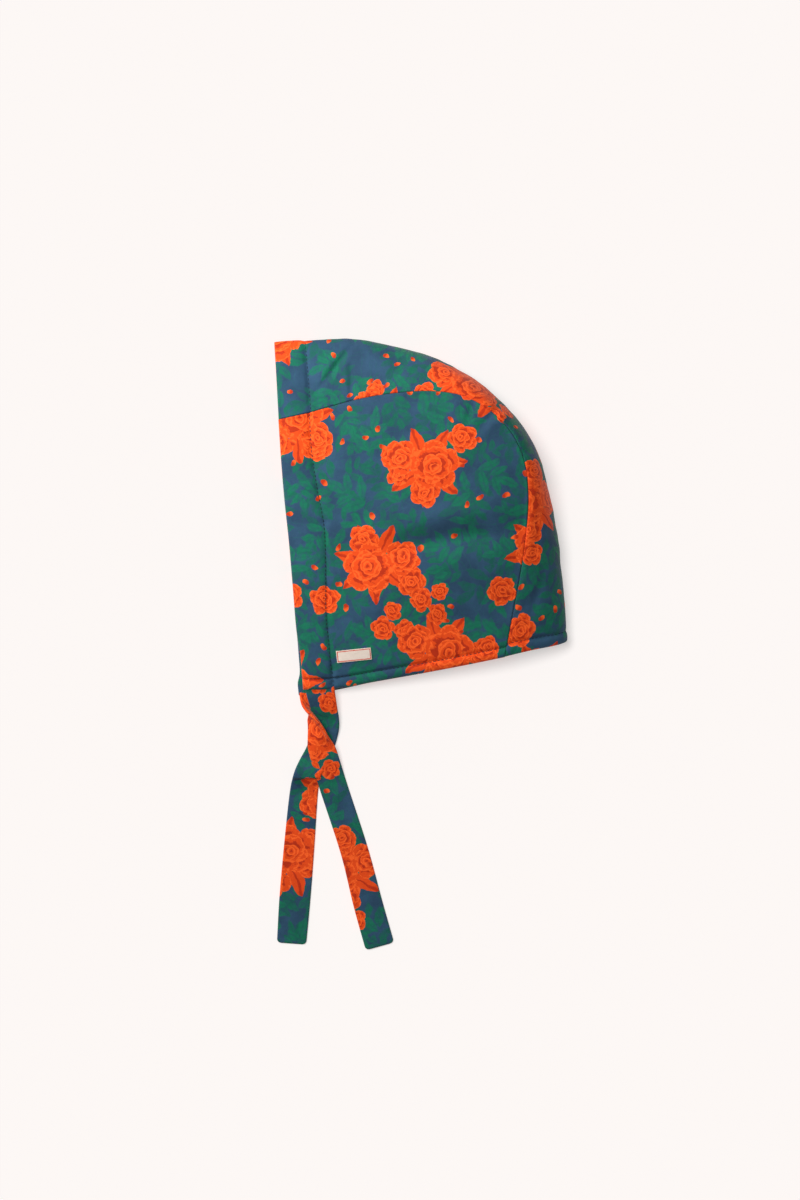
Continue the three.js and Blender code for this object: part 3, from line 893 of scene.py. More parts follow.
    def star_of_leaves(self, tree: NodeTree, local: Node, under: Node, shown: Node) -> Node:
        """Draw pointed orange leaves that stand out round a bouquet.

        Args:
            tree: the material's node tree.
            local: gives the place from the bouquet's centre, in millimetres.
            under: gives the colour drawn over.
            shown: gives 1 where the bouquet is drawn, and 0 elsewhere.

        Returns:
            The new colour.
        """
        lobe, length = self.lobes(tree, local, self.star_leaves, self.star_turn)
        across = add_node(tree, "Math", {0: 1.0, 1: lobe}, operation="SUBTRACT")
        narrowed = add_node(tree, "Math", {0: across, 1: 0.6}, operation="POWER")
        pointed = {0: narrowed, 1: -self.star_notch, 2: self.star_reach}
        reach = add_node(tree, "Math", pointed, operation="MULTIPLY_ADD")
        inside = add_node(tree, "Math", {0: reach, 1: length}, operation="SUBTRACT")
        mask = add_node(tree, "MapRange", {"Value": inside, "From Min": -0.1, "From Max": 0.2})
        drawn = add_node(tree, "Math", {0: mask, 1: shown}, operation="MULTIPLY")
        rib = add_node(tree, "MapRange", {"Value": across, "From Min": 0.004, "From Max": 0.02})
        tones = {0: rib, 6: hex_linear(self.petal_deep), 7: hex_linear(self.petal)}
        leaf = add_node(tree, "Mix", tones, data_type="RGBA")
        return add_node(tree, "Mix", {0: drawn, 6: under, 7: leaf}, data_type="RGBA")

    def buds(self, tree: NodeTree, hand: Node, under: Node) -> Node:
        """Draw the buds, small drops with a lighter tip, strewn between the blossoms.

        Args:
            tree: the material's node tree.
            hand: gives the wavering place.
            under: gives the colour drawn over.

        Returns:
            The new colour.
        """
        local, chance = self.scatter(tree, hand, self.bud_spacing, self.bud_seed, self.bud_jitter)
        sizes = (1 / self.bud_length, 1 / self.bud_width, 0)
        shape = add_node(tree, "VectorMath", {0: local, 1: sizes}, operation="MULTIPLY")
        reach = add_node(tree, "VectorMath", {0: shape}, operation="LENGTH").outputs["Value"]
        inside = add_node(tree, "Math", {0: 1.0, 1: reach}, operation="SUBTRACT")
        mask = add_node(tree, "MapRange", {"Value": inside, "From Max": 0.12})
        kept = {0: chance.outputs[0], 1: self.buds_left_out}
        shown = add_node(tree, "Math", kept, operation="GREATER_THAN")
        drawn = add_node(tree, "Math", {0: mask, 1: shown}, operation="MULTIPLY")
        along = add_node(tree, "SeparateXYZ", {0: shape}).outputs[0]
        tip = add_node(tree, "MapRange", {"Value": along, "From Min": -0.3, "From Max": 0.5})
        tones = {0: tip, 6: hex_linear(self.petal_deep), 7: hex_linear(self.petal_light)}
        petal = add_node(tree, "Mix", tones, data_type="RGBA")
        return add_node(tree, "Mix", {0: drawn, 6: under, 7: petal}, data_type="RGBA")


@dataclass(frozen=True)
class PlainCotton(ClothFinish):
    """Plain woven cotton in one dyed colour: the inside of the bonnet."""

    # Cloth dyed in the piece looks slightly duller than the print, with a faint unevenness. Its thread
    # is drawn 0.6 mm wide, about twice the real one, so that the weave shows.
    name: str = "plain dyed cotton lining"
    roughness: float = 0.82
    sheen: float = 0.1
    thread_mm: float = 0.6
    relief_mm: float = 0.08
    color: str = "#3a536c"

    def paint(self, tree: NodeTree, cloth: Node) -> Node:
        """Dye the cloth in one colour that is faintly uneven.

        Args:
            tree: the material's node tree.
            cloth: gives the place on the cloth, in millimetres.

        Returns:
            The colour.
        """
        clouds = {"Vector": cloth, "Scale": 0.08, "Detail": 3.0}
        noise = add_node(tree, "TexNoise", clouds, noise_dimensions="2D")
        share = add_node(tree, "MapRange", {"Value": noise, "To Min": 0.92, "To Max": 1.06})
        dyed = {0: hex_linear(self.color)[:3], "Scale": share}
        return add_node(tree, "VectorMath", dyed, operation="SCALE")


@dataclass(frozen=True)
class WovenTape(ClothFinish):
    """Woven polyester label tape in off-white, with a thin red line along its border."""

    # Dense tape of smooth thread is a little shinier than the cotton round it. Its thread is drawn
    # 0.5 mm wide, several times the real one, so that the weave shows.
    name: str = "woven label tape"
    roughness: float = 0.6
    sheen: float = 0.2
    thread_mm: float = 0.5
    relief_mm: float = 0.09
    color: str = "#dacabd"
    line: str = "#c9412a"
    length: float = 22.0
    width: float = 7.6
    line_inset: float = 0.75
    line_width: float = 0.5

    def paint(self, tree: NodeTree, cloth: Node) -> Node:
        """Draw the red line at its distance from every edge of the tape.

        Args:
            tree: the material's node tree.
            cloth: gives the place on the tape from its middle, in millimetres.

        Returns:
            The colour.
        """
        out = add_node(tree, "VectorMath", {0: cloth}, operation="ABSOLUTE")
        line = (self.length / 2 - self.line_inset, self.width / 2 - self.line_inset, 0)
        inside = add_node(tree, "VectorMath", {0: line, 1: out}, operation="SUBTRACT")
        parts = add_node(tree, "SeparateXYZ", {0: inside})
        nearest = add_node(tree, "Math", {0: parts.outputs[0], 1: parts.outputs[1]}, operation="MINIMUM")
        off_line = add_node(tree, "Math", {0: nearest}, operation="ABSOLUTE")
        edge = {"From Min": self.line_width * 0.35, "From Max": self.line_width * 0.65}
        on_line = add_node(tree, "MapRange", {"Value": off_line, **edge, "To Min": 1.0, "To Max": 0.0})
        tones = {0: on_line, 6: hex_linear(self.color), 7: hex_linear(self.line)}
        return add_node(tree, "Mix", tones, data_type="RGBA")


@dataclass(frozen=True)
class SewingThread:
    """Spun polyester sewing thread in a dark slate blue."""

    # Spun and twisted fibre has a faint gloss on slanting ridges: the bumps and roughness give real gloss,
    # and the colour carries a painted highlight on the ridges and painted shade between them.
    name: str = "spun polyester sewing thread"
    color: str = "#14262f"
    roughness: float = 0.7
    twist_mm: float = 0.5
    relief_mm: float = 0.05

    def build(self) -> Material:
        """Make the material, with the thread's twist as slanting ridges, raised as bumps and painted lighter
        on top and darker between.

        Returns:
            The material, which reads Object coordinates.
        """
        material, tree = new_material(self.name)
        place = add_node(tree, "TexCoord").outputs["Object"]
        # A wave texture's ridges are about 0.31 apart at scale 1.
        ridges = {"Vector": place, "Scale": 0.31 / (self.twist_mm * MM), "Distortion": 1.0}
        twist = add_node(tree, "TexWave", ridges, bands_direction="DIAGONAL")
        # Painted highlight and shade: the thread's colour is lighter on the twist's ridges and darker
        # between them.
        tone = add_node(tree, "MapRange", {"Value": twist, "To Min": 0.75, "To Max": 1.15})
        painted_light_and_shade = {0: hex_linear(self.color)[:3], "Scale": tone}
        look = {
            "Base Color": add_node(tree, "VectorMath", painted_light_and_shade, operation="SCALE"),
            "Roughness": self.roughness,
            "Specular IOR Level": 0.25,
            "Normal": add_node(tree, "Bump", {"Height": twist, "Distance": self.relief_mm * MM}),
        }
        add_node(tree, "OutputMaterial", {0: add_node(tree, "BsdfPrincipled", look)})
        return material


def add_object(name: str, data: bpy.types.ID) -> Object:
    """Make an object of a mesh, a camera or a light, at the origin, and link it to the scene.

    Args:
        name: the object's name.
        data: what it shows.

    Returns:
        The new object.
    """
    made = bpy.data.objects.new(name, data)
    bpy.context.scene.collection.objects.link(made)
    return made


def smooth_piece(name: str, points: np.ndarray, faces: list, *materials: Material) -> Object:
    """Make a piece from points and faces, shaded smooth.

    Args:
        name: the piece's name.
        points: the places of its points, in millimetres.
        faces: the numbers of each face's points.
        materials: its materials.

    Returns:
        The new object.
    """
    mesh = bpy.data.meshes.new(name)
    mesh.from_pydata((points * MM).tolist(), [], faces)
    mesh.polygons.foreach_set("use_smooth", np.ones(len(faces), dtype=bool))
    for material in materials:
        mesh.materials.append(material)
    mesh.update()
    return add_object(name, mesh)


def cloth_piece(
    name: str,
    outer: np.ndarray,
    inner: np.ndarray,
    flat: np.ndarray,
    finishes: tuple[Material, Material],
    faced: np.ndarray | None = None,
) -> Object:
    """Make a closed piece of cloth between two grids that meet along their border.

    Args:
        name: the piece's name.
        outer: the outer side's places, rows by columns by three, in millimetres.
        inner: the inner side's places; its border is taken from the outer side.
        flat: the place on the flat cloth of each grid point, rows by columns by two, in millimetres.
        finishes: the materials of the outer and the inner side.
        faced: the inner side's grid points where it is faced with the outer side's cloth.

    Returns:
        The new object, with its faces pointing outwards and a UV map named cloth, in metres.
    """
    rows, columns = outer.shape[:2]
    front = np.arange(rows * columns).reshape(rows, columns)
    back = front.copy()
    back[1:-1, 1:-1] = rows * columns + np.arange((rows - 2) * (columns - 2)).reshape(rows - 2, columns - 2)
    points, coordinates = (
        np.vstack([one.reshape(-1, one.shape[-1]), other[1:-1, 1:-1].reshape(-1, one.shape[-1])])
        for one, other in ((outer, inner), (flat, flat))
    )
    quads = [
        np.stack([side[:-1, :-1], side[:-1, 1:], side[1:, 1:], side[1:, :-1]], axis=-1).reshape(-1, 4)
        for side in (front, back)
    ]
    corners = np.vstack([quads[0], quads[1][:, ::-1]])
    a, b, c, d = (points[corners[:, k]] for k in range(4))
    volume = np.einsum("ij,ij->", a, np.cross(b, c)) + np.einsum("ij,ij->", a, np.cross(c, d))
    if volume < 0:
        corners = corners[:, ::-1]
    piece = smooth_piece(name, points, corners.tolist(), *finishes)
    layer = piece.data.uv_layers.new(name="cloth")
    places = coordinates[corners.reshape(-1)] * MM
    layer.data.foreach_set("uv", places.astype(np.float32).reshape(-1))
    sides = np.repeat([0, 1], len(quads[0]))
    if faced is not None:
        sides[len(quads[0]) :] = ~(faced[:-1, :-1] & faced[1:, 1:]).reshape(-1)
    piece.data.polygons.foreach_set("material_index", sides.astype(np.int32))
    piece.data.update()
    return piece


def outward_of(grid: np.ndarray) -> np.ndarray:
    """The directions square to a grid of points, on the side from which its rows run upwards and its
    columns run to the right."""
    square = np.cross(np.gradient(grid, axis=1), np.gradient(grid, axis=0))
    return square / np.maximum(np.linalg.norm(square, axis=-1, keepdims=True), 1e-9)


class StitchLine(NamedTuple):
    """A line that stitches follow: its points in millimetres and the cloth's outward directions."""

    points: np.ndarray
    outward: np.ndarray


@dataclass
class PaddedPanel:
    """What the padded panels share: how finely they are divided, and how their sewn edges swell."""

    print_start: tuple[float, float]
    step: float = 1.3
    fine_step: float = 0.4
    fine_reach: float = 1.8
    casing_puff: float = 1.1
    hem_puff: float = 0.85
    groove: float = 1.3
    lines: list[StitchLine] = field(init=False, default_factory=list)

    def puff(self, in_casing: np.ndarray, in_hem: np.ndarray) -> np.ndarray:
        """How far the casing and the hem swell at shares of their widths."""
        casing, hem = (np.sin(np.pi * np.clip(share, 0, 1)) for share in (in_casing, in_hem))
        return self.casing_puff * casing + self.hem_puff * hem


@dataclass
class SidePanel(PaddedPanel):
    """One side of the bonnet: the casing along the face opening, the hem below and the field."""

    side: Side = Side.UPPER
    width: float = 150.0
    height: float = 165.0
    samples: int = 401
    seam_samples: int = 1500
    casing_puckers: Puckers = Puckers(0.36, 4.5, 21)
    hem_puckers: Puckers = Puckers(0.288, 3.5, 23)
    seam_puckers: Puckers = Puckers(0.324, 4.5, 25)
    padding: Swell = Swell(0.4, 34, 5)
    lumps: Swell = Swell(0.16, 13, 6)
    lower_padding: Swell = Swell(0.25, 30, 8)
    front: SmoothCurve = field(init=False)
    hem: SmoothCurve = field(init=False)

    def __post_init__(self) -> None:
        """Draw the two free edges; the lower panel's front corner stands out a little."""
        out = 0 if self.side is Side.UPPER else 1
        self.front, self.hem = (
            SmoothCurve([(p.x - out * p.lower_out, p.y - out * p.lower_down, p.height) for p in edge])
            for edge in (FRONT_EDGE, HEM_EDGE)
        )

    def seam_edge(self, s: np.ndarray) -> np.ndarray:
        """The edge that is sewn to the crown panel, from the face opening to the nape."""
        return SEAM.at(s) - inward_at(s) * SEAM_OVERLAP

    def place(self, u: np.ndarray, v: np.ndarray) -> np.ndarray:
        """Places on the panel's even surface, between its four edges.

        Args:
            u: shares from the front edge to the back seam.
            v: shares from the hem to the top seam.

        Returns:
            The places, in millimetres.
        """
        corner = CORNER_SECTION / LAST_SECTION
        u3, v3 = u[..., None], v[..., None]
        point = self.front.at(v) * (1 - u3) + self.seam_edge(1 - v * (1 - corner)) * u3
        point += self.hem.at(u) * (1 - v3) + self.seam_edge(u * corner) * v3
        chin = self.front.at(np.zeros(1))[0]
        brow, turn, nape = self.seam_edge(np.array([0.0, corner, 1.0]))
        point -= chin * (1 - u3) * (1 - v3) + nape * u3 * (1 - v3)
        point -= brow * (1 - u3) * v3 + turn * u3 * v3
        return point

    def casing_width(self, v: np.ndarray) -> np.ndarray:
        """The width of the stitched casing, widest half way up."""
        return SmoothCurve([(width,) for width in CASING_WIDTHS]).at(v)[..., 0]

    def shares(self) -> tuple[np.ndarray, np.ndarray, int, int]:
        """Where the grid's lines run, with one line along each row of stitches.

        Returns:
            The shares u and v of each grid point, the casing's column and the hem's row.
        """
        fineness = (self.step, self.fine_step, self.fine_reach)
        across, (_, casing, _) = marked_places([0, CASING_WIDTH, self.width], *fineness)
        upward, (_, hem, _) = marked_places([0, HEM_WIDTH, self.height], *fineness)
        even = np.linspace(0, 1, self.samples)
        v = np.empty((len(upward), len(across)))
        for column, share in enumerate(across / self.width):
            length = run_lengths(self.place(np.full_like(even, share), even))
            above = HEM_WIDTH + (upward - HEM_WIDTH) / (self.height - HEM_WIDTH) * (length[-1] - HEM_WIDTH)
            v[:, column] = np.interp(np.where(upward <= HEM_WIDTH, upward, above), length, even)
        u = np.empty_like(v)
        beyond = (across - CASING_WIDTH) / (self.width - CASING_WIDTH)
        for row, share in enumerate(v[:, casing]):
            length = run_lengths(self.place(even, np.full_like(even, share)))
            width = self.casing_width(share)
            past = width + beyond * (length[-1] - width)
            place = np.where(across <= CASING_WIDTH, across / CASING_WIDTH * width, past)
            u[row] = np.interp(place, length, even)
        return u, v, casing, hem

    def build(self, printed: Material, lining: Material) -> Object:
        """Make the panel.

        Args:
            printed: the outer side's material.
            lining: the inner side's material.

        Returns:
            The finished piece.
        """
        upper = self.side is Side.UPPER
        u, v, casing, hem = self.shares()
        base = self.place(u, v)
        x, y = base[..., 0], base[..., 1]
        from_front, from_hem = run_lengths(base, 1), run_lengths(base, 0)
        seam = self.seam_edge(np.linspace(0, 1, self.seam_samples))
        from_seam, along_seam = nearest_on_line(x, y, seam)
        past_casing, past_hem = from_front - self.casing_width(v), from_hem - HEM_WIDTH
        free_edge = np.minimum(from_front, from_hem)
        from_edge = np.minimum(free_edge, from_seam)
        drop, rise = rounded_edges(free_edge, from_seam)
        groove = self.groove * stitched_groove(past_casing, past_hem)
        if upper:
            bend = PANEL_CROWN * np.sin(np.pi * u) * np.sin(np.pi * v) - fold_depth(PANEL_FOLDS, x, y)
            z = base[..., 2] + bend
            crease = self.casing_puckers.over(from_hem, past_casing)
            crease += self.hem_puckers.over(from_front, past_hem)
            crease += self.seam_puckers.over(along_seam, from_seam)
            padding = self.padding.over(x, y)
            crease += padding + self.lumps.over(x, y)
            calm = smooth_step(from_edge, 0, 3)
            puff = self.puff(from_front / self.casing_width(v), from_hem / HEM_WIDTH)
            top = z + puff - groove + crease * calm - drop
            under = z - WALL + padding * calm + rise
        else:  # it lies flat on the floor, outer side down
            top = groove + drop
            padding = self.lower_padding.height + self.lower_padding.over(x, y)
            under = WALL - rise + padding * smooth_step(from_edge, 0, 8)
        outer, inner = np.stack([x, y, top], axis=-1), np.stack([x, y, under], axis=-1)
        away = outward_of(outer) * (1 if upper else -1)
        followed = (np.s_[2:, casing], np.s_[hem, 2:])
        self.lines = [StitchLine(outer[line], away[line]) for line in followed]
        flat = np.stack([x if upper else -x, y], axis=-1) + self.print_start
        faced = (past_casing < FACING) | (past_hem < FACING)
        name = f"side_panel_{self.side.value}_cloth"
        piece = cloth_piece(name, outer, inner, flat, (printed, lining), faced)
        return piece


@dataclass
class CrownPanel(PaddedPanel):
    """The long panel over the head, from the face opening to the nape, between the two side panels."""

    arc: float = 78.0
    seam_reach: float = 1.6
    samples: int = 4001
    arc_samples: int = 721
    casing_puckers: Puckers = Puckers(0.36, 4.5, 31)
    hem_puckers: Puckers = Puckers(0.288, 3.5, 33)
    upper_puckers: Puckers = Puckers(0.36, 5.0, 35)
    lower_puckers: Puckers = Puckers(0.25, 5.0, 37)
    padding: Swell = Swell(0.5, 30, 15)
    lumps: Swell = Swell(0.2, 12, 16)
    outline_swells: tuple[Swell, Swell] = (Swell(0.22, 11, 19), Swell(0.16, 5, 20))

    def place(self, s: np.ndarray, angle: np.ndarray, inset: float) -> np.ndarray:
        """Places on the panel's even surface.

        Args:
            s: shares from the face opening to the nape.
            angle: from minus a right angle at the lower seam to a right angle at the upper one.
            inset: how far inside the outer side, in millimetres.

        Returns:
            The places, in millimetres.
        """
        seam, rim, inward = SEAM.at(s), RIM.at(s), inward_at(s)
        depth = np.linalg.norm((seam - rim) * (1, 1, 0), axis=-1) + SEAM_OVERLAP
        half = seam[..., 2] / 2
        distance = inset + (depth - inset) * (1 - np.cos(angle))
        point = rim + inward * distance[..., None]
        point[..., 2] = half + (half - inset) * np.sin(angle)
        return point

    def shares(self) -> tuple[np.ndarray, np.ndarray, int, int]:
        """Where the grid's lines run: evenly by length, with one line along each row of stitches.

        Returns:
            The share s and the angle of each grid point, the casing's row and the hem's row.
        """
        even = np.linspace(0, 1, self.samples)
        run = run_lengths(RIM.at(even))
        casing_at = np.interp(CASING_SECTION / LAST_SECTION, even, run)
        marks = [0, casing_at, run[-1] - HEM_WIDTH, run[-1]]
        along, (_, casing, hem, _) = marked_places(marks, self.step, self.fine_step, self.fine_reach)
        across, _ = marked_places([0, self.arc], self.step, self.fine_step, self.seam_reach)
        turns = np.linspace(-math.pi / 2, math.pi / 2, self.arc_samples)
        stations = np.interp(along, run, even)
        angles = []
        for s in stations:
            length = run_lengths(self.place(np.full_like(turns, s), turns, 0))
            angles.append(np.interp(across / self.arc * length[-1], length, turns))
        angle = np.array(angles)
        return np.broadcast_to(stations[:, None], angle.shape), angle, casing, hem

    def build(self, printed: Material, lining: Material) -> Object:
        """Make the panel.

        Args:
            printed: the outer side's material.
            lining: the inner side's material.

        Returns:
            The finished piece.
        """
        s, angle, casing, hem = self.shares()
        base = self.place(s, angle, 0)
        row, column = s.shape[0] // 2, s.shape[1] // 2
        outward = outward_of(base)
        outward *= -np.sign(outward[row, column] @ inward_at(s[row, column]))
        along, across = run_lengths(base, 0), run_lengths(base, 1)
        from_nape, from_upper = along[-1:] - along, across[:, -1:] - across
        casing_at, hem_at = along[casing : casing + 1], along[hem : hem + 1]
        free_edge, seam = np.minimum(along, from_nape), np.minimum(across, from_upper)
        # From 0 at the outline, half way up the panel, to 1 at either seam.
        from_outline = np.abs(base[..., 2] / SEAM.at(s)[..., 2] * 2 - 1)
        above = smooth_step(angle, -1.2, -0.4)  # 0 where the panel lies on the floor
        drop, rise = rounded_edges(free_edge, seam, 0.2 + 0.8 * smooth_step(from_outline, 0.05, 0.5))
        puff = self.puff(along / casing_at, (along - hem_at) / (along[-1:] - hem_at))
        puff *= 0.35 + 0.65 * smooth_step(from_outline, 0.1, 0.7)
        groove = stitched_groove(along - casing_at, along - hem_at)
        groove *= self.groove * (0.3 + 0.7 * smooth_step(from_outline, 0.1, 0.75))
        crease = self.casing_puckers.over(across, along - casing_at)
        crease += self.hem_puckers.over(across, along - hem_at)
        crease += self.upper_puckers.over(along, from_upper) + self.lower_puckers.over(along, across)
        crease += self.padding.over(along, across) + self.lumps.over(along, across)
        crease *= smooth_step(np.minimum(free_edge, seam), 0, 3) * above
        swells = sum(swell.over(along, across * 0.2) for swell in self.outline_swells)
        crease += swells * smooth_step(free_edge, 0, 6)
        outer = base + outward * (puff * above - groove + crease - drop)[..., None]
        folds = fold_depth(CROWN_FOLDS, base[..., 0], base[..., 1])
        outer[..., 2] = np.maximum(outer[..., 2] - folds * smooth_step(angle, 0.0, 0.9), 0)
        inner = self.place(s, angle, WALL) + outward * rise[..., None]
        # Between its seams the nape's hem hangs down a little.
        belly = NAPE_BELLY * np.sin(np.pi * from_outline) * (1 - smooth_step(from_nape, 0, 30))
        for side in (outer, inner):
            side[..., 1] -= belly
        self.lines = [StitchLine(outer[line], outward[line]) for line in (casing, hem)]
        middle = np.broadcast_to(along[:, column : column + 1], across.shape)
        flat = np.stack([middle, across - across[:, -1:] / 2], axis=-1) + self.print_start
        faced = (along < casing_at + FACING) | (along > hem_at - FACING)
        piece = cloth_piece("crown_panel_cloth", outer, inner, flat, (printed, lining), faced)
        return piece


@dataclass
class Tie:
    """A flat tie of the printed cotton, folded and turned, with rounded corners at its free end."""

    name: str
    sections: list[TieSection]
    print_start: tuple[float, float]
    seed: int
    thickness: float = 2.0
    corner: float = 2.6
    step: float = 1.2
    fine_step: float = 0.3
    fold_reach: float = 5.0
    cross_step: float = 1.0
    cross_fine_step: float = 0.25
    edge_reach: float = 1.3
    samples: int = 3001
    wave: float = 0.175
    grain: float = 0.12
    fold_y: float = -84.4
    fold_rise: float = 0.0
    curl: float = 0.0

    def build(self, printed: Material) -> Object:
        """Make the tie.

        Args:
            printed: the material of both sides.

        Returns:
            The finished piece.
        """
        left, middle, right = (SmoothCurve(list(edge)) for edge in zip(*self.sections))
        even = np.linspace(0, 1, self.samples)
        run = run_lengths(middle.at(even))
        fold_at = np.interp(-self.fold_y, -middle.at(even)[:, 1], run)
        along, _ = marked_places([0, fold_at, run[-1]], self.step, self.fine_step, self.fold_reach)
        share = np.interp(along, run, even)
        left_edge, centre, right_edge = left.at(share), middle.at(share), right.at(share)
        width = np.linalg.norm(right_edge - left_edge, axis=1)[:, None]
        to_end = np.linalg.norm(middle.at(np.ones(1)) - centre, axis=1)[:, None]
        kept = 1 - 2 * roll_off(to_end, self.corner) / width
        across, _ = marked_places([0, TIE_WIDTH], self.cross_step, self.cross_fine_step, self.edge_reach)
        w = (across / (TIE_WIDTH / 2) - 1)[None, :] * kept
        length = np.broadcast_to(along[:, None], w.shape)
        points = (
            left_edge[:, None] * (w * (w - 1) / 2)[..., None]
            + centre[:, None] * (1 - w * w)[..., None]
            + right_edge[:, None] * (w * (w + 1) / 2)[..., None]
        )
        outward = outward_of(points)
        outward *= np.sign(outward[-30:, :, 2].mean())  # the tie lies flat towards its end, right side up
        from_side = (kept - np.abs(w)) * width / 2
        edge = np.minimum(np.minimum(from_side, to_end), length)
        # Past the crossing the tie lies loosely. Before its fold it bulges, and in its turn one edge curls.
        lift = self.wave * (1 + self.ripple(length, from_side, w)) * smooth_step(length, 50, 70)
        past_fold = self.fold_y - points[..., 1]
        lift += self.fold_rise * smooth_step(past_fold, -15, -2) * (1 - smooth_step(past_fold, -0.3, 0.5))
        lip = smooth_step(length, 12, 22) * (1 - smooth_step(length, 52, 64))
        lift += self.curl * lip * smooth_step(-w, 0.5, 1.0)
        points[..., 2] += lift
        thick = self.thickness / 2 - roll_off(edge, self.thickness / 2)
        surface = self.grain * soft_noise(length, w * TIE_WIDTH / 2, 5.0, self.seed + 2)
        outer = points + outward * (thick + surface * np.clip(edge, 0, 1))[..., None]
        inner = points - outward * thick[..., None]
        flat = np.stack([length, w * TIE_WIDTH / 2], axis=-1) + self.print_start
        piece = cloth_piece(self.name, outer, inner, flat, (printed, printed))
        return piece

    def ripple(self, length: np.ndarray, from_side: np.ndarray, w: np.ndarray) -> np.ndarray:
        """Soft waves along the tie, and smaller ones towards its edges."""
        broad = soft_noise(length, from_side * 0.4, 9, self.seed)
        return broad + 0.6 * soft_noise(length, w * 3, 4, self.seed + 1)


@dataclass
class Label:
    """The small woven label, left bare, sewn flat on the upper panel beside the casing."""

    tape: WovenTape
    x: float = -41.9
    y: float = -7.1
    turn: float = 6.0
    thickness: float = 0.6
    gap: float = 0.05
    cell: float = 0.4
    fine_cell: float = 0.15
    edge_reach: float = 0.5
    stitch_inset: float = 1.0
    lines: list[StitchLine] = field(init=False, default_factory=list)

    def build(self, cloth: Object, material: Material) -> Object:
        """Lay the label on the panel's surface.

        Args:
            cloth: the upper panel.
            material: the tape's material.

        Returns:
            The finished piece.
        """
        tree = BVHTree.FromObject(cloth, bpy.context.evaluated_depsgraph_get())
        along, across = (
            marked_places([0, size], self.cell, self.fine_cell, self.edge_reach)[0]
            for size in (self.tape.length, self.tape.width)
        )
        a, b = np.meshgrid(along - self.tape.length / 2, across - self.tape.width / 2, indexing="ij")
        turn = math.radians(self.turn)
        x = self.x + a * math.cos(turn) - b * math.sin(turn)
        y = self.y + a * math.sin(turn) + b * math.cos(turn)
        high, down = 0.2, Vector((0, 0, -1))  # metres over the floor, above the whole bonnet
        hits = [tree.ray_cast(Vector((px * MM, py * MM, high)), down)[0] for px, py in zip(x.flat, y.flat)]
        z = np.array([hit.z / MM for hit in hits]).reshape(x.shape)
        edge = np.minimum(self.tape.length / 2 - np.abs(a), self.tape.width / 2 - np.abs(b))
        half = self.thickness / 2
        thick = half - roll_off(edge, half)
        outer, inner = (np.stack([x, y, z + half + self.gap + t], axis=-1) for t in (thick, -thick))
        piece = cloth_piece("label_tape", outer, inner, np.stack([a, b], axis=-1), (material, material))
        away = outward_of(outer)
        away *= np.sign(away[..., 2:].mean())
        # Its two short ends are sewn down, each a little way in from the edge.
        inset = int(np.argmin(np.abs(along - self.stitch_inset)))
        ends = (np.s_[inset, 3:-3], np.s_[len(along) - 1 - inset, 3:-3])
        self.lines = [StitchLine(outer[line], away[line]) for line in ends]
        # A sheet's width can't be given under 10 mm.
        return piece


@dataclass
class StitchRow:
    """Rows of machine stitches: one short stitch is modelled, and its copies follow the lines."""

    name: str
    length: float = 2.2
    pitch: float = 2.6
    width: float = 0.54  # about twice the real thread, so that the stitches show
    sink: float = 0.02  # how deep the middle lies in the cloth
    dip: float = 0.22  # how much deeper the ends go

    def model_stitch(self) -> tuple[np.ndarray, list[tuple[int, ...]]]:
        """Model one stitch: a thin round body along X whose ends dip into the cloth.

        Returns:
            Its points, in millimetres, and its faces.
        """
        bpy.ops.object.select_all(action="DESELECT")
        bpy.ops.mesh.primitive_uv_sphere_add(segments=8, ring_count=6, radius=0.5)
        made = bpy.context.object
        bpy.ops.object.mode_set(mode="EDIT")
        bpy.ops.transform.resize(value=(self.width, self.width, self.length))
        bpy.ops.transform.rotate(value=math.pi / 2, orient_axis="Y", center_override=(0, 0, 0))
        bpy.ops.object.mode_set(mode="OBJECT")
        points = np.array([tuple(v.co) for v in made.data.vertices])
        faces = [tuple(p.vertices) for p in made.data.polygons]
        bpy.data.objects.remove(made, do_unlink=True)
        points[:, 2] -= self.dip * (points[:, 0] / (self.length / 2)) ** 4
        return points, faces

    def sew(self, lines: list[StitchLine], thread: Material) -> Object:
        """Copy the stitch along lines and join the copies into one piece.

        Args:
            lines: the lines that the stitches follow.
            thread: the thread's material.

        Returns:
            The finished piece.
        """
        shape, shape_faces = self.model_stitch()
        points, faces = [], []
        for line in lines:
            run = run_lengths(line.points)
            count = max(1, int((run[-1] - self.length) / self.pitch) + 1)
            start = (run[-1] - (count - 1) * self.pitch) / 2
            for centre in start + np.arange(count) * self.pitch:
                back, middle, front = (
                    value_at(centre + half * self.length / 2, run, line.points) for half in (-1, 0, 1)
                )
                forward = (front - back) / np.linalg.norm(front - back)
                sideways = np.cross(value_at(centre, run, line.outward), forward)
                sideways /= np.linalg.norm(sideways)
                away = np.cross(forward, sideways)
                seat = (middle + (back + front) / 2) / 2 - away * self.sink
                first = len(points) * len(shape)
                points.append(seat + shape @ np.stack([forward, sideways, away]))
                faces.extend(tuple(first + corner for corner in face) for face in shape_faces)
        return smooth_piece(self.name, np.vstack(points), faces, thread)


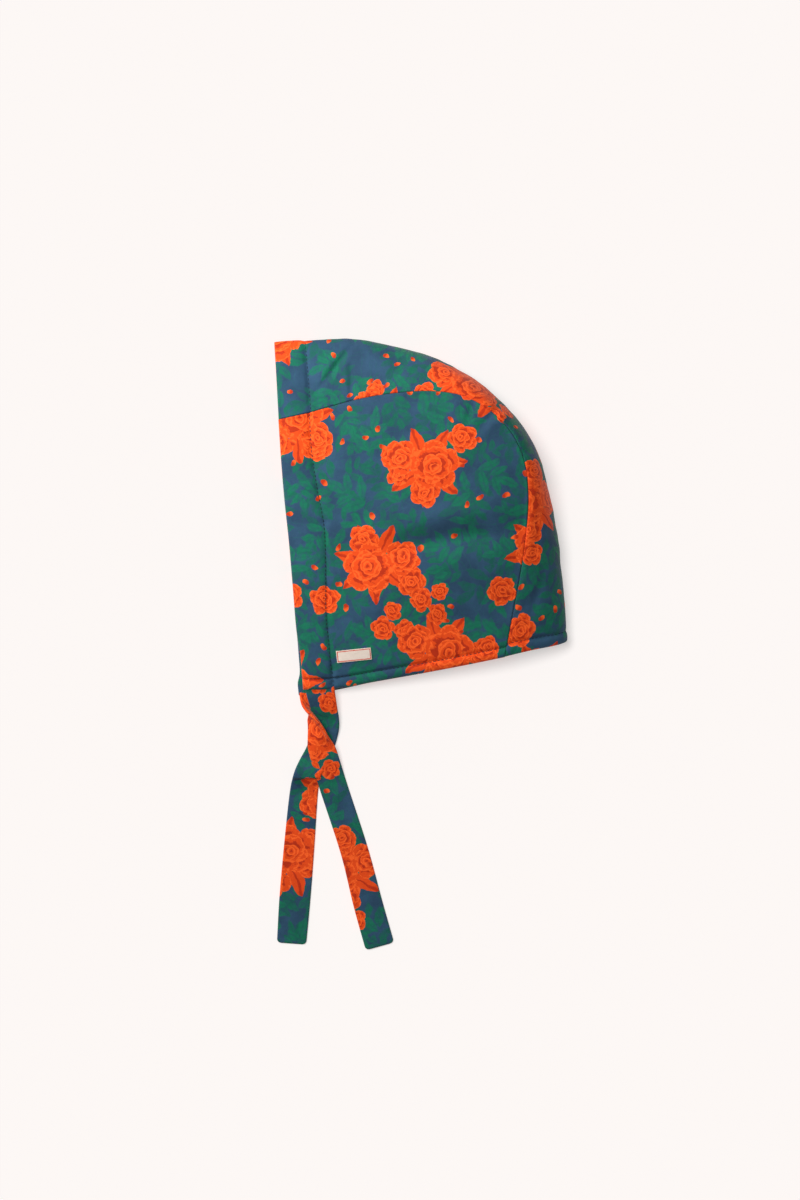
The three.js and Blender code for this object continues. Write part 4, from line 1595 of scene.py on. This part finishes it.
@dataclass
class Studio:
    """A pale light table under even, soft light from overhead, with the camera straight above."""

    view_centre: Point = (-13.1, 27.5, 20.0)
    view_height: float = 750.0
    lens: float = 180.0
    sensor: float = 36.0
    floor_size: float = 30.0  # metres
    floor_color: str = "#cfcbc8"
    floor_glow: str = "#c2bebd"
    world_color: str = "#fffdfb"
    world_strength: float = 0.13
    key_strength: float = 1.88
    key_from: Point = (-0.2, 0.17, 1.0)  # a direction
    key_spread: float = 22.0
    near_power: float = 1.78
    near_from: Point = (-0.30, 0.29, 0.24)  # metres, as its aim and its size
    near_aim: Point = (0.0, 0.08, 0.03)
    near_size: float = 0.22

    def camera(self) -> None:
        """Look straight down on the object, with the frame's upper edge towards the crown."""
        data = bpy.data.cameras.new("camera")
        data.lens, data.sensor_width = self.lens, self.sensor
        camera = add_object("camera", data)
        x, y, z = self.view_centre
        camera.location = (x * MM, y * MM, self.view_height * MM * self.lens / self.sensor + z * MM)
        bpy.context.scene.camera = camera

    def floor(self) -> None:
        """Lay a wide sheet of matt opal acrylic, lit from below as on a light table."""
        bpy.ops.object.select_all(action="DESELECT")
        bpy.ops.mesh.primitive_plane_add(size=self.floor_size)
        floor = bpy.context.object
        floor.name = "floor"
        # A matt acrylic face has no highlight, and the light from below leaves only pale shadows on it.
        # Its grain is drawn about 1 mm across, far coarser than the real one.
        material, tree = new_material("matt opal acrylic")
        place = add_node(tree, "TexCoord").outputs["Object"]
        grain = add_node(tree, "TexNoise", {"Vector": place, "Scale": 900})
        look = {
            "Base Color": hex_linear(self.floor_color),
            "Roughness": 0.95,
            "Specular IOR Level": 0.0,
            "Emission Color": hex_linear(self.floor_glow),
            "Emission Strength": 1.0,
            "Normal": add_node(tree, "Bump", {"Height": grain, "Distance": 0.02 * MM, "Strength": 0.2}),
        }
        add_node(tree, "OutputMaterial", {0: add_node(tree, "BsdfPrincipled", look)})
        floor.data.materials.append(material)

    def hang(self, light: Light, source: Point, aim: Point) -> Object:
        """Hang a light at its source and turn it towards its aim.

        Args:
            light: the light.
            source: where it hangs, or for a sun the direction that it comes from.
            aim: what it points at.

        Returns:
            The lamp.
        """
        lamp = add_object(light.name, light)
        lamp.location = source
        lamp.rotation_euler = (Vector(source) - Vector(aim)).to_track_quat("Z", "Y").to_euler()
        return lamp

    def light(self, bonnet: list[Object]) -> None:
        """Even light from all round, a large soft light overhead, and a soft lamp beyond the crown.

        Args:
            bonnet: the bonnet's pieces. The lamp beyond the crown lights them alone, so that the floor
                stays even.
        """
        scene = bpy.context.scene
        scene.world = bpy.data.worlds.new("studio")
        scene.world.use_nodes = True
        tree = scene.world.node_tree
        tree.nodes.clear()
        even = {"Color": hex_linear(self.world_color), "Strength": self.world_strength}
        add_node(tree, "OutputWorld", {0: add_node(tree, "Background", even)})
        overhead = bpy.data.lights.new("overhead light", "SUN")
        overhead.energy, overhead.angle = self.key_strength, math.radians(self.key_spread)
        self.hang(overhead, self.key_from, (0.0, 0.0, 0.0))
        near = bpy.data.lights.new("soft lamp", "AREA")
        near.energy, near.size = self.near_power, self.near_size
        lamp = self.hang(near, self.near_from, self.near_aim)
        lamp.visible_camera = False
        lit = bpy.data.collections.new("lit by the soft lamp")
        for piece in bonnet:
            lit.objects.link(piece)
        lamp.light_linking.receiver_collection = lit
        scene.view_settings.view_transform = "Standard"


def finish_piece(piece: Object, slot: str, *nodes: str) -> Object:
    """Let a piece ride with the bonnet, hide the CAD nodes that it replaces, and log it.

    Args:
        piece: the piece.
        slot: not used.
        nodes: the CAD nodes that it replaces.

    Returns:
        The same piece.
    """
    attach(piece, "root")
    if nodes:
        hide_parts(*nodes)
    LOG.info("%s: %d faces", piece.name, len(piece.data.polygons))
    return piece


def main() -> None:
    """Build the bonnet piece by piece, then the studio."""
    logging.basicConfig(level=logging.INFO, format="%(name)s: %(message)s")
    printed, lining, tape = PrintedPoplin().build(), PlainCotton().build(), WovenTape()
    upper = SidePanel((107.0, 454.0), side=Side.UPPER)
    lower = SidePanel((63.0, 21.0), side=Side.LOWER)
    crown = CrownPanel((28.0, 598.0))
    upper_cloth = upper.build(printed, lining)
    upper_tie = Tie("tie_upper_cloth", UPPER_TIE, (207, 485), 41, fold_rise=3.4)
    lower_tie = Tie("tie_lower_cloth", LOWER_TIE, (131, 616), 47, curl=2.4)
    label = Label(tape)
    bonnet = [
        finish_piece(upper_cloth, "printed_cotton", "side_panel_upper"),
        finish_piece(lower.build(printed, lining), "printed_cotton", "side_panel_lower"),
        finish_piece(crown.build(printed, lining), "printed_cotton", "crown_panel"),
        finish_piece(upper_tie.build(printed), "tie_cotton", "tie_upper"),
        finish_piece(lower_tie.build(printed), "tie_cotton", "tie_lower"),
        finish_piece(label.build(upper_cloth, tape.build()), "label_tape", "label"),
    ]
    thread = SewingThread().build()
    for index, name in enumerate(("casing_stitches", "hem_stitches")):
        row = StitchRow(name).sew([panel.lines[index] for panel in (upper, lower, crown)], thread)
        bonnet.append(finish_piece(row, "printed_cotton"))
    small = StitchRow("label_stitches", length=0.9, pitch=1.25, width=0.22)
    bonnet.append(finish_piece(small.sew(label.lines, thread), "label_tape"))
    studio = Studio()
    studio.floor()
    studio.light(bonnet)
    studio.camera()


if __name__ == "__main__":
    main()
